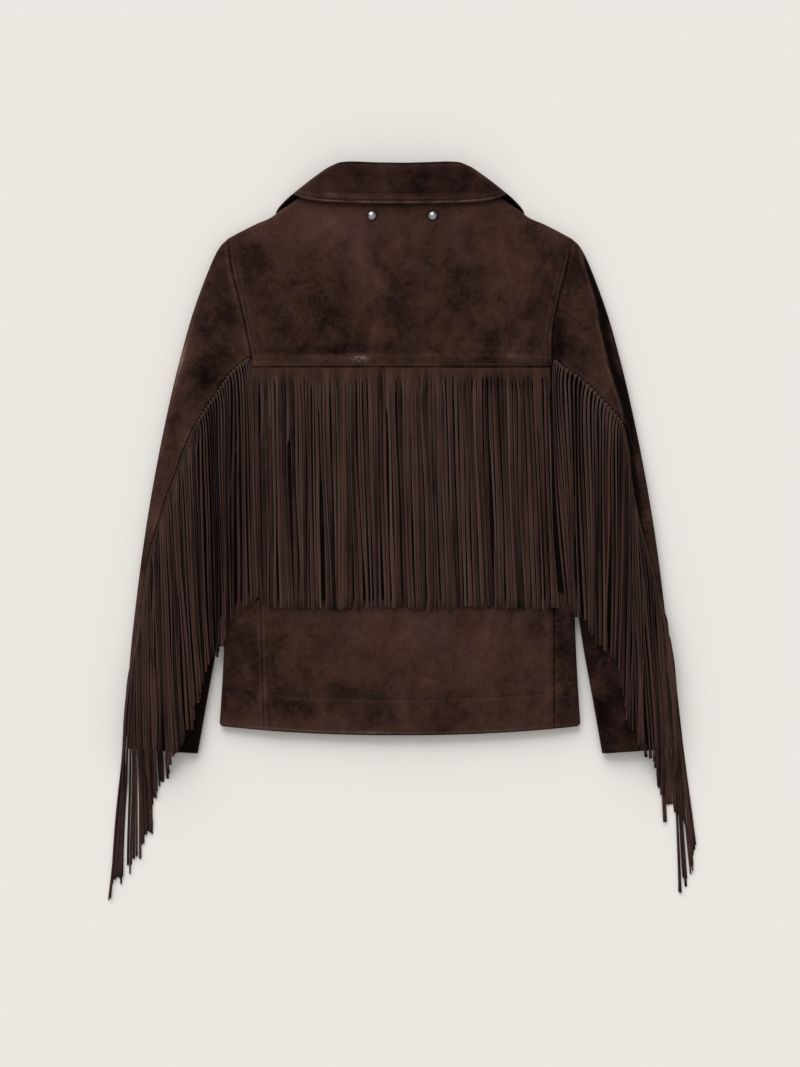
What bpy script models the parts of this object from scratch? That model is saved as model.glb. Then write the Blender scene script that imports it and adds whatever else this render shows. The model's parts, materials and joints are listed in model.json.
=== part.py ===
"""A fringed suede jacket lying face down: back up, fronts on the floor, collar towards +Y.

Every piece of suede is a wall about its middle surface. The body and the two sleeves are
flattened tubes: a flat lower layer, a flat upper layer, and a rounded fold along each side.
"""

import bmesh
import bpy
import numpy as np

# Driving dimensions, in metres
SUEDE = 0.0015
COLLAR_WALL = 0.0022
FRINGE_WALL = 0.0026
GAP = 0.0003
TINY = 1e-6
LAID_HEIGHT = 0.0145
BODY_CROWN = 0.002
SLEEVE_CROWN = 0.003
HEM_Y = -0.242
HEM_RISE = 0.0135
HEM_HALF = 0.2155
CUFF_Y = -0.264
CUFF_RISE = 0.006
UNDERARM_Y = 0.110
YOKE_Y = 0.200
UNDERARM_GAP = 0.0017
SIDE_SEAM_TOP_Y = 0.160
SIDE_POINT = 0.002
SLEEVE_APEX_Y = 0.347
NECK_HALF = 0.085
SHOULDER_HALF = 0.2065
SHOULDER_BLEND = 0.025
SLEEVE_FOLD_SHARE = 0.42
CROWN_FADE = 0.1
FLAP_SHORT = 0.003
UNDER_FLAP_SHORT = 0.004
FRINGE_HEADING = 0.002
FRINGE_LENGTH = 0.297
FRINGE_END_Y = -0.146
FRINGE_CURVE = 1.3
BED_REACH_X = (-0.014, -0.007, 0, 0.007, 0.014)
BED_REACH_Y = (-0.014, 0, 0.014, 0.028)
NECK_LIFT = 0.0028
NECK_LIFT_Y = 0.250
NECK_LIFT_HALF = 0.185
NECK_LIFT_FADE = 0.035
STUD_RADIUS = 0.0045
STUD_HEIGHT = 0.0028
STUD_X = {"left": -0.034, "right": 0.039}
STUD_Y = 0.381

FLOOR_LAYER = SUEDE / 2
UPPER_LAYER = LAID_HEIGHT - SUEDE / 2
FOLD_RADIUS = (UPPER_LAYER - FLOOR_LAYER) / 2
FOLD_HEIGHT = FLOOR_LAYER + FOLD_RADIUS


# Heights along the body where pieces have a row of points, so that both sides of a seam agree
LEVELS = np.array(
    [-0.264, -0.242, -0.17, -0.08, 0.00, 0.06, 0.085, 0.110, 0.130, 0.150, 0.160]
    + [0.175, 0.200, 0.213, 0.225, 0.255, 0.285, 0.312, 0.330, 0.3495]
)


class Table:
    """Rows under named columns. The first column is the key, and it rises from row to row."""

    def __init__(self, names, rows):
        names = names.split()
        values = np.array(rows, float)
        self.key = values[:, 0]
        self.columns = dict(zip(names, values.T))

    def read(self, name, at):
        """The column's value at a height: straight from level to level, as the walls are."""
        return np.interp(at, LEVELS, self.curve(name, LEVELS))

    def curve(self, name, at):
        """The column's value at the key, on a curve with a continuous slope through the rows."""
        key = self.key
        value = self.columns[name]
        slope = np.gradient(value, key)
        at = np.clip(at, key[0], key[-1])
        row = np.clip(np.searchsorted(key, at) - 1, 0, len(key) - 2)
        step = key[row + 1] - key[row]
        t = (at - key[row]) / step
        rising = t * t * (3 - 2 * t)
        bend = slope[row] * t * (1 - t) ** 2 - slope[row + 1] * t * t * (1 - t)
        return value[row] * (1 - rising) + value[row + 1] * rising + bend * step


# Half width of the body, hem to underarm
BODY = Table(
    "y half",
    [
        (-0.242, 0.2160),
        (-0.171, 0.2120),
        (-0.090, 0.2090),
        (0.000, 0.2070),
        (0.060, 0.2040),
        (0.110, 0.1970),
    ],
)

# Armhole seam, underarm to shoulder point
ARMHOLE = Table(
    "y left right",
    [
        (0.110, 0.1970, 0.1970),
        (0.148, 0.1900, 0.1920),
        (0.205, 0.1772, 0.1832),
        (0.230, 0.1815, 0.1822),
        (0.280, 0.1925, 0.1900),
        (0.312, 0.2005, 0.1980),
        (0.350, 0.2070, 0.2065),
    ],
)

# Inner fold of the sleeve, cuff to underarm, and its outer fold, cuff to shoulder
SLEEVE_INNER = Table(
    "y x",
    [
        (-0.264, 0.2437),
        (-0.206, 0.2335),
        (-0.107, 0.2165),
        (-0.050, 0.2108),
        (0.000, 0.2088),
        (0.060, 0.2058),
        (0.110, 0.1990),
    ],
)
SLEEVE_OUTER = Table(
    "y x",
    [
        (-0.264, 0.3280),
        (-0.162, 0.3245),
        (-0.075, 0.3155),
        (0.000, 0.3055),
        (0.114, 0.2853),
        (0.210, 0.2635),
        (0.268, 0.2470),
        (0.312, 0.2310),
        (0.347, 0.2125),
    ],
)

# Seam between top sleeve and under sleeve on the upper layer, where the sleeve fringe is set
SLEEVE_SEAM = {
    "left": Table(
        "y x",
        [
            (-0.264, 0.3190),
            (-0.146, 0.3150),
            (-0.044, 0.3038),
            (-0.014, 0.2978),
            (0.014, 0.2888),
            (0.047, 0.2784),
            (0.076, 0.2672),
            (0.105, 0.2568),
            (0.131, 0.2450),
            (0.169, 0.2200),
            (0.197, 0.1995),
            (0.213, 0.1795),
        ],
    ),
    "right": Table(
        "y x",
        [
            (-0.264, 0.3190),
            (-0.146, 0.3145),
            (-0.033, 0.3010),
            (0.010, 0.2885),
            (0.065, 0.2775),
            (0.110, 0.2725),
            (0.137, 0.2640),
            (0.155, 0.2488),
            (0.172, 0.2322),
            (0.190, 0.2124),
            (0.201, 0.1956),
            (0.211, 0.1838),
        ],
    ),
}

# The same seam on the lower layer, as a share of the sleeve's width from its inner fold
LOWER_SEAM = Table("y share", [(-0.264, 0.45), (0.060, 0.40), (0.110, 0.30), (0.213, 0.00)])

# Seams of the body's side panels: on the upper layer, and on the lower layer
BACK_SEAM = Table(
    "y left right",
    [
        (-0.242, 0.1630, 0.1850),
        (-0.087, 0.1670, 0.1850),
        (0.050, 0.1720, 0.1858),
        (0.110, 0.1780, 0.1870),
        (0.160, 0.1880, 0.1920),
    ],
)
FRONT_SEAM = Table(
    "y x", [(-0.242, 0.175), (0.000, 0.168), (0.060, 0.168), (0.110, 0.175), (0.160, 0.192)]
)

# Upper edge of the yoke and of a front, centre to shoulder point
YOKE_TOP = Table(
    "x y",
    [
        (0.000, 0.4230),
        (0.060, 0.4200),
        (0.085, 0.4110),
        (0.100, 0.4000),
        (0.125, 0.3870),
        (0.150, 0.3775),
        (0.172, 0.3695),
        (0.190, 0.3605),
        (0.2065, 0.3495),
    ],
)
FRONT_TOP = Table(
    "x y",
    [
        (0.000, 0.3000),
        (0.045, 0.3550),
        (0.085, 0.3930),
        (0.100, 0.3990),
        (0.125, 0.3870),
        (0.150, 0.3775),
        (0.172, 0.3695),
        (0.190, 0.3605),
        (0.2065, 0.3495),
    ],
)

# Rows of the collar. side and side_y: where the row passes over the side fold.
# upper and lower: heights of the back and of the front of the ring about the neck.
COLLAR_LEAF = Table(
    "row centre_y side side_y upper lower",
    [
        (0, 0.4445, 0.0805, 0.4405, 0.0225, 0.0048),
        (1, 0.4425, 0.0825, 0.4390, 0.0250, 0.0024),
        (2, 0.4360, 0.0900, 0.4335, 0.0262, 0.0011),
        (3, 0.4180, 0.1165, 0.4105, 0.0225, 0.0011),
        (4, 0.3940, 0.1475, 0.3845, 0.0184, 0.0011),
    ],
)
COLLAR_STAND = Table(
    "row centre_y side side_y upper lower",
    [
        (0, 0.4243, 0.0985, 0.4060, 0.0165, 0.0040),
        (1, 0.4330, 0.0880, 0.4230, 0.0188, 0.0048),
        (2, 0.4412, 0.0775, 0.4372, 0.0215, 0.0062),
    ],
)
COLLAR_FRONT_REACH = 0.045
COLLAR_FRONT_SLOPE = 0.9
COLLAR_HUMP = 0.0035

# Strands of a sleeve fringe by the height of their root: length, and lean away from the body
SLEEVE_FRINGE = {
    "left": Table(
        "y length lean",
        [
            (-0.146, 0.3006, 0.036),
            (-0.110, 0.295, 0.004),
            (-0.050, 0.297, -0.006),
            (0.028, 0.297, -0.015),
            (0.090, 0.297, -0.019),
            (0.169, 0.298, -0.011),
            (0.213, 0.286, -0.013),
        ],
    ),
    "right": Table(
        "y length lean",
        [
            (-0.146, 0.3006, 0.036),
            (-0.033, 0.297, 0.018),
            (0.065, 0.297, 0.012),
            (0.172, 0.297, 0.001),
            (0.191, 0.297, 0.005),
            (0.204, 0.297, 0.012),
            (0.211, 0.297, 0.009),
        ],
    ),
}

# Sides of the back fringe, root and tip
BACK_FRINGE = Table(
    "y left right", [(-0.0885, 0.1695, 0.1890), (0.060, 0.1725, 0.1850), (0.198, 0.1750, 0.1780)]
)

SIDES = {"left": -1, "right": 1}

FOLD_ANGLES = np.radians(np.linspace(0, 180, 7))
HALF_FOLD = len(FOLD_ANGLES) // 2
QUARTER = FOLD_ANGLES[: HALF_FOLD + 1]
SIDE_STEPS = 2
SLEEVE_STEPS = 3
TURN_ANGLES = np.radians([30, 60, 90])[:, None]
SHOULDER_SHARES = np.linspace(0, 1, 10)
FRONT_SHARES = np.delete(SHOULDER_SHARES, (1, 3, 7))


def ease(share):
    """Rises from 0 to 1 with no corner at either end."""
    share = np.clip(share, 0, 1)
    return share * share * (3 - 2 * share)


def spread(first, last, count):
    return np.linspace(first, last, count)


def levels_between(first, last):
    """The levels from one height to another, both ends included."""
    inside = LEVELS[(LEVELS > first + TINY) & (LEVELS < last - TINY)]
    return np.concatenate([[first], inside, [last]])


def hem_y(x):
    return HEM_Y + HEM_RISE * (x / HEM_HALF) ** 2


def cuff_y(x):
    inner = SLEEVE_INNER.read("x", CUFF_Y)
    outer = SLEEVE_OUTER.read("x", CUFF_Y)
    return CUFF_Y + CUFF_RISE * (x - inner) / (outer - inner)


def body_half(y, side):
    """Half width of the body's upper layer: its side fold, and the armhole above the underarm."""
    return np.where(y <= UNDERARM_Y, BODY.read("half", y), ARMHOLE.read(side, y))


def sleeve_inner(y, side):
    return np.where(y <= UNDERARM_Y, SLEEVE_INNER.read("x", y), ARMHOLE.read(side, y))


def sleeve_outer(y):
    return SLEEVE_OUTER.read("x", y)


def body_upper(x, y, side):
    """Height of the body's upper layer: level at its sides, a little higher in the middle."""
    return UPPER_LAYER + BODY_CROWN * (1 - np.clip(np.abs(x) / body_half(y, side), 0, 1) ** 2)


def sleeve_seam(y, side):
    """The fringe seam, which ends on the armhole."""
    seam = SLEEVE_SEAM[side]
    at_levels = np.where(
        LEVELS < seam.key[-1] - TINY, seam.curve("x", LEVELS), ARMHOLE.curve(side, LEVELS)
    )
    return np.interp(y, LEVELS, at_levels)


def side_seam(table, column, y, side):
    """A seam of a side panel, which runs up beside the armhole until the panel ends."""
    return np.minimum(table.read(column, y), ARMHOLE.read(side, y) - SIDE_POINT)


def underarm_share(y):
    return np.clip((y - UNDERARM_Y) / (SIDE_SEAM_TOP_Y - UNDERARM_Y), 0, 1)


def sleeve_fold_radius(y, side):
    width = sleeve_outer(y) - sleeve_inner(y, side)
    return np.minimum(FOLD_RADIUS, SLEEVE_FOLD_SHARE * width)


def sleeve_upper(x, y, side):
    """Height of a sleeve's upper layer: a parabola between its two folds."""
    radius = sleeve_fold_radius(y, side)
    first = sleeve_inner(y, side) + radius
    last = sleeve_outer(y) - radius
    share = np.clip((x - first) / (last - first), 0, 1)
    crown = SLEEVE_CROWN * np.clip((SLEEVE_APEX_Y - y) / CROWN_FADE, 0, 1)
    return FOLD_HEIGHT + radius + crown * 4 * share * (1 - share)


def front_lower(x, y):
    """Height of the lower layer: on the floor, but over the collar's ends near the neck."""
    inside = ease((NECK_LIFT_HALF - np.abs(x)) / NECK_LIFT_FADE)
    return FLOOR_LAYER + NECK_LIFT * inside * ease((y - NECK_LIFT_Y) / NECK_LIFT_FADE)


def armhole_height(y):
    """The armhole seam drops from the upper layer to the fold, where it turns under the arm."""
    return FOLD_RADIUS * np.sqrt(1 - (1 - underarm_share(y)) ** 2)


def add_material(name, colour, roughness, metallic=0.0):
    material = bpy.data.materials.new(name)
    material.use_nodes = True
    shader = material.node_tree.nodes["Principled BSDF"]
    shader.inputs["Base Color"].default_value = (*colour, 1)
    shader.inputs["Roughness"].default_value = roughness
    shader.inputs["Metallic"].default_value = metallic
    material.diffuse_color = (*colour, 1)
    return material


def add_object(name, mesh, material):
    piece = bpy.data.objects.new(name, mesh)
    piece.data.materials.append(material)
    jacket.objects.link(piece)
    return piece


def add_wall(name, surfaces, thickness, material, even=True):
    """One wall about its middle surface, which is given as grids of points joined where they meet."""
    form = bmesh.new()
    for points in surfaces:
        rows, columns = points.shape[:2]
        made = [[form.verts.new(point) for point in row] for row in points]
        for i in range(rows - 1):
            for j in range(columns - 1):
                form.faces.new((made[i][j], made[i][j + 1], made[i + 1][j + 1], made[i + 1][j]))
    bmesh.ops.remove_doubles(form, verts=form.verts, dist=TINY)
    bmesh.ops.recalc_face_normals(form, faces=form.faces)
    mesh = bpy.data.meshes.new(name)
    form.to_mesh(mesh)
    form.free()
    mesh.shade_smooth()
    piece = add_object(name, mesh, material)
    wall = piece.modifiers.new("wall", "SOLIDIFY")
    wall.thickness = thickness
    wall.offset = 0
    wall.use_even_offset = even
    return piece


def stacked(x, y, z, sign=1):
    x, y, z = np.broadcast_arrays(x, y, z)
    return np.stack([sign * x, y, z], axis=-1)


def make_yoke(material):
    """Between the armholes, from the yoke seam to the neckline, turned down at the shoulders."""
    share = np.concatenate([-SHOULDER_SHARES[:0:-1], SHOULDER_SHARES])
    reach = np.abs(share) * SHOULDER_HALF
    top = YOKE_TOP.curve("y", reach)
    foot = YOKE_Y + GAP / 2
    rising = levels_between(foot, top[0] - FOLD_RADIUS)[:, None]
    straight = (rising - foot) / (top[0] - FOLD_RADIUS - foot)
    y = np.concatenate([foot + (top - FOLD_RADIUS - foot) * straight,
                        top - FOLD_RADIUS * (1 - np.sin(TURN_ANGLES))])
    angle = np.concatenate([0 * straight, TURN_ANGLES])
    side = np.where(share < 0, ARMHOLE.read("left", y), ARMHOLE.read("right", y)) - GAP / 2
    x = share * side
    shoulder = ease((reach - NECK_HALF) / SHOULDER_BLEND)
    fall = shoulder * (FOLD_RADIUS - GAP) * (1 - np.cos(angle))
    crown = BODY_CROWN * (1 - share**2)
    z = UPPER_LAYER + crown * (1 - shoulder * (1 - np.cos(angle))) - fall
    add_wall("back_yoke", [stacked(x, y, z)], SUEDE, material)


def make_back(material):
    """The centre panel, from the hem to the yoke seam."""
    share = spread(0, 1, 11)[None, :]
    levels = levels_between(HEM_Y, YOKE_Y - GAP / 2)[:, None]
    edges = []
    for side in SIDES:
        armhole = ARMHOLE.read(side, levels)
        seam = side_seam(BACK_SEAM, side, levels, side)
        edges.append(np.where(levels <= SIDE_SEAM_TOP_Y, seam, armhole) - GAP / 2)
    x = -edges[0] + (edges[0] + edges[1]) * share
    y = np.where(levels == HEM_Y, hem_y(x), levels)
    half = np.where(x < 0, body_half(y, "left"), body_half(y, "right"))
    z = UPPER_LAYER + BODY_CROWN * (1 - (x / half) ** 2)
    add_wall("back_centre", [stacked(x, y, z)], SUEDE, material)


def side_tube(y, side):
    """One row of a side panel: upper layer, round the fold, lower layer. Points go outwards, then in."""
    half = body_half(y, side)
    seam = side_seam(BACK_SEAM, side, y, side) + GAP / 2
    upper_x = seam + (half - FOLD_RADIUS - seam) * spread(0, 1, SIDE_STEPS + 1)[:-1]
    fold_x = half - FOLD_RADIUS * (1 - np.sin(FOLD_ANGLES))
    low_seam = side_seam(FRONT_SEAM, "x", y, side) + GAP / 2
    lower_x = half - FOLD_RADIUS + (low_seam - half + FOLD_RADIUS) * spread(0, 1, SIDE_STEPS + 2)[1:]
    x = np.concatenate([upper_x, fold_x, lower_x])
    fold_z = FOLD_HEIGHT + FOLD_RADIUS * np.cos(FOLD_ANGLES)
    fold_z[0] = body_upper(fold_x[0], y, side)
    z = np.concatenate([body_upper(upper_x, y, side), fold_z, 0 * lower_x + FLOOR_LAYER])
    return x, z


def make_side(side, material):
    """A side panel wraps the body's fold. Above the underarm it splits into an upper and a lower flap."""
    sign = SIDES[side]
    rows = []
    for level in levels_between(HEM_Y, UNDERARM_Y):
        x, z = side_tube(level, side)
        y = hem_y(x) if level == HEM_Y else level + 0 * x
        rows.append(stacked(x, y, z, sign))
    outermost = SIDE_STEPS + HALF_FOLD
    flaps = []
    for upper in (True, False):
        flap = [rows[-1][: outermost + 1] if upper else rows[-1][outermost:]]
        for level in levels_between(UNDERARM_Y, SIDE_SEAM_TOP_Y - FLAP_SHORT)[1:]:
            edge = ARMHOLE.read(side, level) - GAP / 2
            table, column = (BACK_SEAM, side) if upper else (FRONT_SEAM, "x")
            inner = side_seam(table, column, level, side) + GAP / 2
            reach = min(FOLD_RADIUS, 0.5 * (edge - inner))
            drop = (FOLD_RADIUS - armhole_height(level)) * (1 - np.cos(QUARTER))
            steps = SIDE_STEPS + 1 if upper else SIDE_STEPS + 2
            flat = edge - reach + (inner - edge + reach) * spread(0, 1, steps)[1:]
            curve_x = edge - reach * (1 - np.sin(QUARTER))
            if upper:
                x = np.concatenate([flat[::-1], curve_x])
                z = body_upper(x, level, side) - np.concatenate([0 * flat, drop])
            else:
                x = np.concatenate([curve_x[::-1], flat])
                z = FLOOR_LAYER + np.concatenate([drop[::-1], 0 * flat])
            flap.append(stacked(x, level, z, sign))
        flaps.append(np.array(flap))
    add_wall(f"back_side_{side}", [np.array(rows), *flaps], SUEDE, material)


def make_front(side, material):
    """A front lies on the floor, from the centre to the side seam and armhole, up to the shoulder."""
    share = FRONT_SHARES
    reach = share * SHOULDER_HALF
    top = FRONT_TOP.curve("y", reach)
    shoulder = ease((reach - NECK_HALF) / SHOULDER_BLEND)
    bottom = hem_y(share * FRONT_SEAM.read("x", HEM_Y))
    rising = levels_between(bottom[-1], top[-1] - FOLD_RADIUS)[:, None]
    straight = (rising - bottom[-1]) / (top[-1] - FOLD_RADIUS - bottom[-1])
    y = np.concatenate([bottom + (top - FOLD_RADIUS - bottom) * straight,
                        top - FOLD_RADIUS * (1 - np.sin(TURN_ANGLES))])
    angle = np.concatenate([0 * straight, TURN_ANGLES])
    seam = side_seam(FRONT_SEAM, "x", y, side)
    edge = np.where(y <= SIDE_SEAM_TOP_Y + TINY, seam, ARMHOLE.read(side, y)) - GAP / 2
    x = GAP / 2 + (edge - GAP / 2) * share
    flat = front_lower(x, y)
    z = flat + shoulder * (FOLD_HEIGHT - GAP - flat) * (1 - np.cos(angle))
    add_wall(f"front_{side}", [stacked(x, y, z, SIDES[side])], SUEDE, material)


def make_top_sleeve(side, material):
    """From the fringe seam or armhole, round the outer fold, to the lower seam or armhole."""
    seam_top = SLEEVE_SEAM[side].key[-1]
    rows = []
    for level in levels_between(CUFF_Y, SLEEVE_APEX_Y):
        radius = sleeve_fold_radius(level, side)
        outer = sleeve_outer(level)
        inner = sleeve_inner(level, side)
        if level < seam_top - TINY:
            start = sleeve_seam(level, side)
            stop = inner + LOWER_SEAM.read("share", level) * (outer - inner)
        else:
            start = inner
            stop = inner
        start = start + GAP
        stop = stop + GAP
        upper_x = start + (outer - radius - start) * spread(0, 1, SLEEVE_STEPS + 1)[:-1]
        fold_x = outer - radius * (1 - np.sin(FOLD_ANGLES))
        lower_x = outer - radius + (stop - outer + radius) * spread(0, 1, SLEEVE_STEPS + 1)[1:]
        x = np.concatenate([upper_x, fold_x, lower_x])
        y = cuff_y(x) if level == CUFF_Y else level + 0 * x
        upper_z = sleeve_upper(upper_x, level, side)
        fold_z = FOLD_HEIGHT + radius * np.cos(FOLD_ANGLES)
        z = np.concatenate([upper_z, fold_z, 0 * lower_x + FOLD_HEIGHT - radius])
        rows.append(stacked(x, y, z, SIDES[side]))
    add_wall(f"sleeve_top_{side}", [np.array(rows)], SUEDE, material)


def make_under_sleeve(side, material):
    """The rest of the sleeve, round its inner fold, with two flaps above the underarm."""
    seam_top = SLEEVE_SEAM[side].key[-1]
    sign = SIDES[side]
    rows = []
    for level in levels_between(CUFF_Y, UNDERARM_Y):
        outer = sleeve_outer(level)
        inner = sleeve_inner(level, side)
        start = sleeve_seam(level, side) - GAP / 2
        stop = inner + LOWER_SEAM.read("share", level) * (outer - inner) - GAP / 2
        upper_x = start + (inner + FOLD_RADIUS - start) * spread(0, 1, SLEEVE_STEPS + 1)[:-1]
        fold_x = inner + FOLD_RADIUS * (1 - np.sin(FOLD_ANGLES))
        lower_x = inner + FOLD_RADIUS + (stop - inner - FOLD_RADIUS) * spread(0, 1, SLEEVE_STEPS + 1)[1:]
        x = np.concatenate([upper_x, fold_x, lower_x])
        y = cuff_y(x) if level == CUFF_Y else level + 0 * x
        fold_z = FOLD_HEIGHT + FOLD_RADIUS * np.cos(FOLD_ANGLES)
        z = np.concatenate([sleeve_upper(upper_x, level, side), fold_z, 0 * lower_x + FLOOR_LAYER])
        rows.append(stacked(x, y, z, sign))
    innermost = SLEEVE_STEPS + HALF_FOLD
    flaps = []
    for upper in (True, False):
        top_y = seam_top - UNDER_FLAP_SHORT if upper else YOKE_Y
        flap = [rows[-1][: innermost + 1] if upper else rows[-1][innermost:]]
        for level in levels_between(UNDERARM_Y, top_y)[1:]:
            edge = ARMHOLE.read(side, level) + GAP + UNDERARM_GAP * (1 - underarm_share(level))
            outer = sleeve_outer(level)
            inner = sleeve_inner(level, side)
            low_seam = inner + LOWER_SEAM.read("share", level) * (outer - inner)
            far = (sleeve_seam(level, side) if upper else low_seam) - GAP / 2
            reach = min(FOLD_RADIUS, 0.5 * (far - edge))
            drop = (FOLD_RADIUS - armhole_height(level)) * (1 - np.cos(QUARTER))
            flat = edge + reach + (far - edge - reach) * spread(0, 1, SLEEVE_STEPS + 1)[1:]
            curve_x = edge + reach * (1 - np.sin(QUARTER))
            if upper:
                x = np.concatenate([flat[::-1], curve_x])
                z = sleeve_upper(x, level, side) - np.concatenate([0 * flat, drop])
            else:
                x = np.concatenate([curve_x[::-1], flat])
                z = FLOOR_LAYER + np.concatenate([drop[::-1], 0 * flat])
            flap.append(stacked(x, level, z, sign))
        flaps.append(np.array(flap))
    add_wall(f"sleeve_under_{side}", [np.array(rows), *flaps], SUEDE, material)


def collar_row(table, row):
    """One row about the neck: the back of the ring above, a fold at each side, the front ends below."""
    side, side_y, centre_y, upper, lower = (
        table.columns[name][row] for name in ("side", "side_y", "centre_y", "upper", "lower")
    )
    radius = (upper - lower) / 2
    top_x = (side - radius) * spread(0, 1, 7)
    angle = np.radians(spread(0, 180, 7))[1:]
    fold_x = side - radius * (1 - np.sin(angle))
    low_x = side - radius - COLLAR_FRONT_REACH * spread(0, 1, 3)[1:]
    x = np.concatenate([top_x, fold_x, low_x])
    z = np.concatenate([0 * top_x + upper, lower + radius * (1 + np.cos(angle)), 0 * low_x + lower])
    share = np.concatenate([top_x, fold_x[:3]]) / side
    back_y = centre_y + COLLAR_HUMP * share**2 - (COLLAR_HUMP + centre_y - side_y) * share**8
    under_y = side_y + 0 * fold_x[3:]
    low_y = side_y - COLLAR_FRONT_SLOPE * (side - radius - low_x)
    y = np.concatenate([back_y, under_y, low_y])
    half = stacked(x, y, z)
    return np.concatenate([half[:0:-1] * (-1, 1, 1), half])


def make_collar(name, table, thickness, material):
    rows = [collar_row(table, row) for row in range(len(table.key))]
    add_wall(name, [np.array(rows)], thickness, material)


def top_of_pieces(x, y, side):
    """Highest suede at a place, x measured outwards. It is 0 off the jacket."""
    on_body = (x <= body_half(y, side)) & (y >= hem_y(x))
    inner = sleeve_inner(y, side)
    outer = sleeve_outer(y)
    on_sleeve = (x >= inner) & (x <= outer) & (y >= cuff_y(x))
    body = np.where(on_body, body_upper(x, y, side), 0)
    sleeve = np.where(on_sleeve, sleeve_upper(np.clip(x, inner, outer), y, side), 0)
    return np.maximum(body, sleeve) + np.where(on_body | on_sleeve, SUEDE / 2, 0)


def bed_height(x, y, side):
    """What a fringe lies on: the highest suede within a short reach, so that it bridges hollows."""
    heights = [
        top_of_pieces(x + dx, y + dy, side)
        for dx in BED_REACH_X
        for dy in BED_REACH_Y
    ]
    return np.max(heights, axis=0)


def make_sleeve_fringe(side, material):
    """A slab of the strands' reach, from the sleeve seam down over the sleeve and onto the floor."""
    seam = SLEEVE_SEAM[side]
    table = SLEEVE_FRINGE[side]
    root_y = spread(FRINGE_END_Y, seam.key[-1] - FLAP_SHORT, 13)
    root_x = seam.read("x", root_y)
    length = table.curve("length", root_y)
    lean = table.curve("lean", root_y)
    along = spread(FRINGE_HEADING / FRINGE_LENGTH, 1, 11)[:, None]
    x = root_x + lean * along**FRINGE_CURVE
    y = root_y - length * along
    bed = bed_height(x, y, side)
    z = bed + FRINGE_WALL / 2 + np.where(bed > 0, 2 * GAP, 0)
    points = stacked(x, y, z, SIDES[side])
    add_wall(f"fringe_sleeve_{side}", [points], FRINGE_WALL, material, even=False)


def make_back_fringe(material):
    share = spread(0, 1, 11)[None, :]
    y = spread(BACK_FRINGE.key[0], BACK_FRINGE.key[-1], 7)[:, None]
    left = BACK_FRINGE.curve("left", y)
    right = BACK_FRINGE.curve("right", y)
    x = -left + (left + right) * share
    half = np.where(x < 0, body_half(y, "left"), body_half(y, "right"))
    bed = UPPER_LAYER + BODY_CROWN * (1 - (x / half) ** 2) + SUEDE / 2
    z = bed + GAP + FRINGE_WALL / 2
    add_wall("fringe_back", [stacked(x, y, z)], FRINGE_WALL, material)


def make_stud(side, x, material):
    """A plain domed stud: an arc turned about its axis, closed by a flat back."""
    angle = np.radians(spread(90, 0, 7))
    profile = [(STUD_RADIUS * np.cos(a), 0, STUD_HEIGHT * np.sin(a)) for a in angle]
    profile[0] = (0, 0, STUD_HEIGHT)
    profile.append((0, 0, 0))
    mesh = bpy.data.meshes.new(f"stud_{side}")
    mesh.from_pydata(profile, [(i, i + 1) for i in range(len(profile) - 1)], [])
    stud = add_object(f"stud_{side}", mesh, material)
    bed = body_upper(abs(x), STUD_Y, side) + SUEDE / 2
    stud.location = (x, STUD_Y, bed + GAP)
    turned = stud.modifiers.new("turned", "SCREW")
    turned.steps = 20
    turned.render_steps = 20
    turned.use_merge_vertices = True
    turned.merge_threshold = 1e-5


for item in list(bpy.data.objects):
    bpy.data.objects.remove(item)

jacket = bpy.data.collections.new("fringed_suede_jacket")
bpy.context.scene.collection.children.link(jacket)

BROWN = (0.045, 0.022, 0.015)
suede = add_material("suede", BROWN, 0.95)
collar_suede = add_material("collar_suede", (0.055, 0.026, 0.018), 0.93)
fringe_suede = add_material("fringe_suede", (0.038, 0.020, 0.015), 0.95)
stud_metal = add_material("stud_metal", (0.80, 0.79, 0.77), 0.25, 1.0)

make_yoke(suede)
make_back(suede)
for name in SIDES:
    make_side(name, suede)
    make_front(name, suede)
    make_top_sleeve(name, suede)
    make_under_sleeve(name, suede)
    make_sleeve_fringe(name, fringe_suede)
make_back_fringe(fringe_suede)
make_collar("collar_leaf", COLLAR_LEAF, COLLAR_WALL, collar_suede)
make_collar("collar_stand", COLLAR_STAND, SUEDE, collar_suede)
for name, across in STUD_X.items():
    make_stud(name, across, stud_metal)
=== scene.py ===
# %% [markdown]
# # A fringed suede jacket, laid face down
# A short jacket of dark brown suede lies on a table with its back up and its fronts underneath.
# A long fringe hangs from the yoke seam, and one more from the back seam of each sleeve.
# The lesson first loads the measured frame, then cuts each panel as a smooth grid of points,
# gives it the creases and seams of worn suede, and at last sets the light.

# %% Load the measured frame
import json

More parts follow.
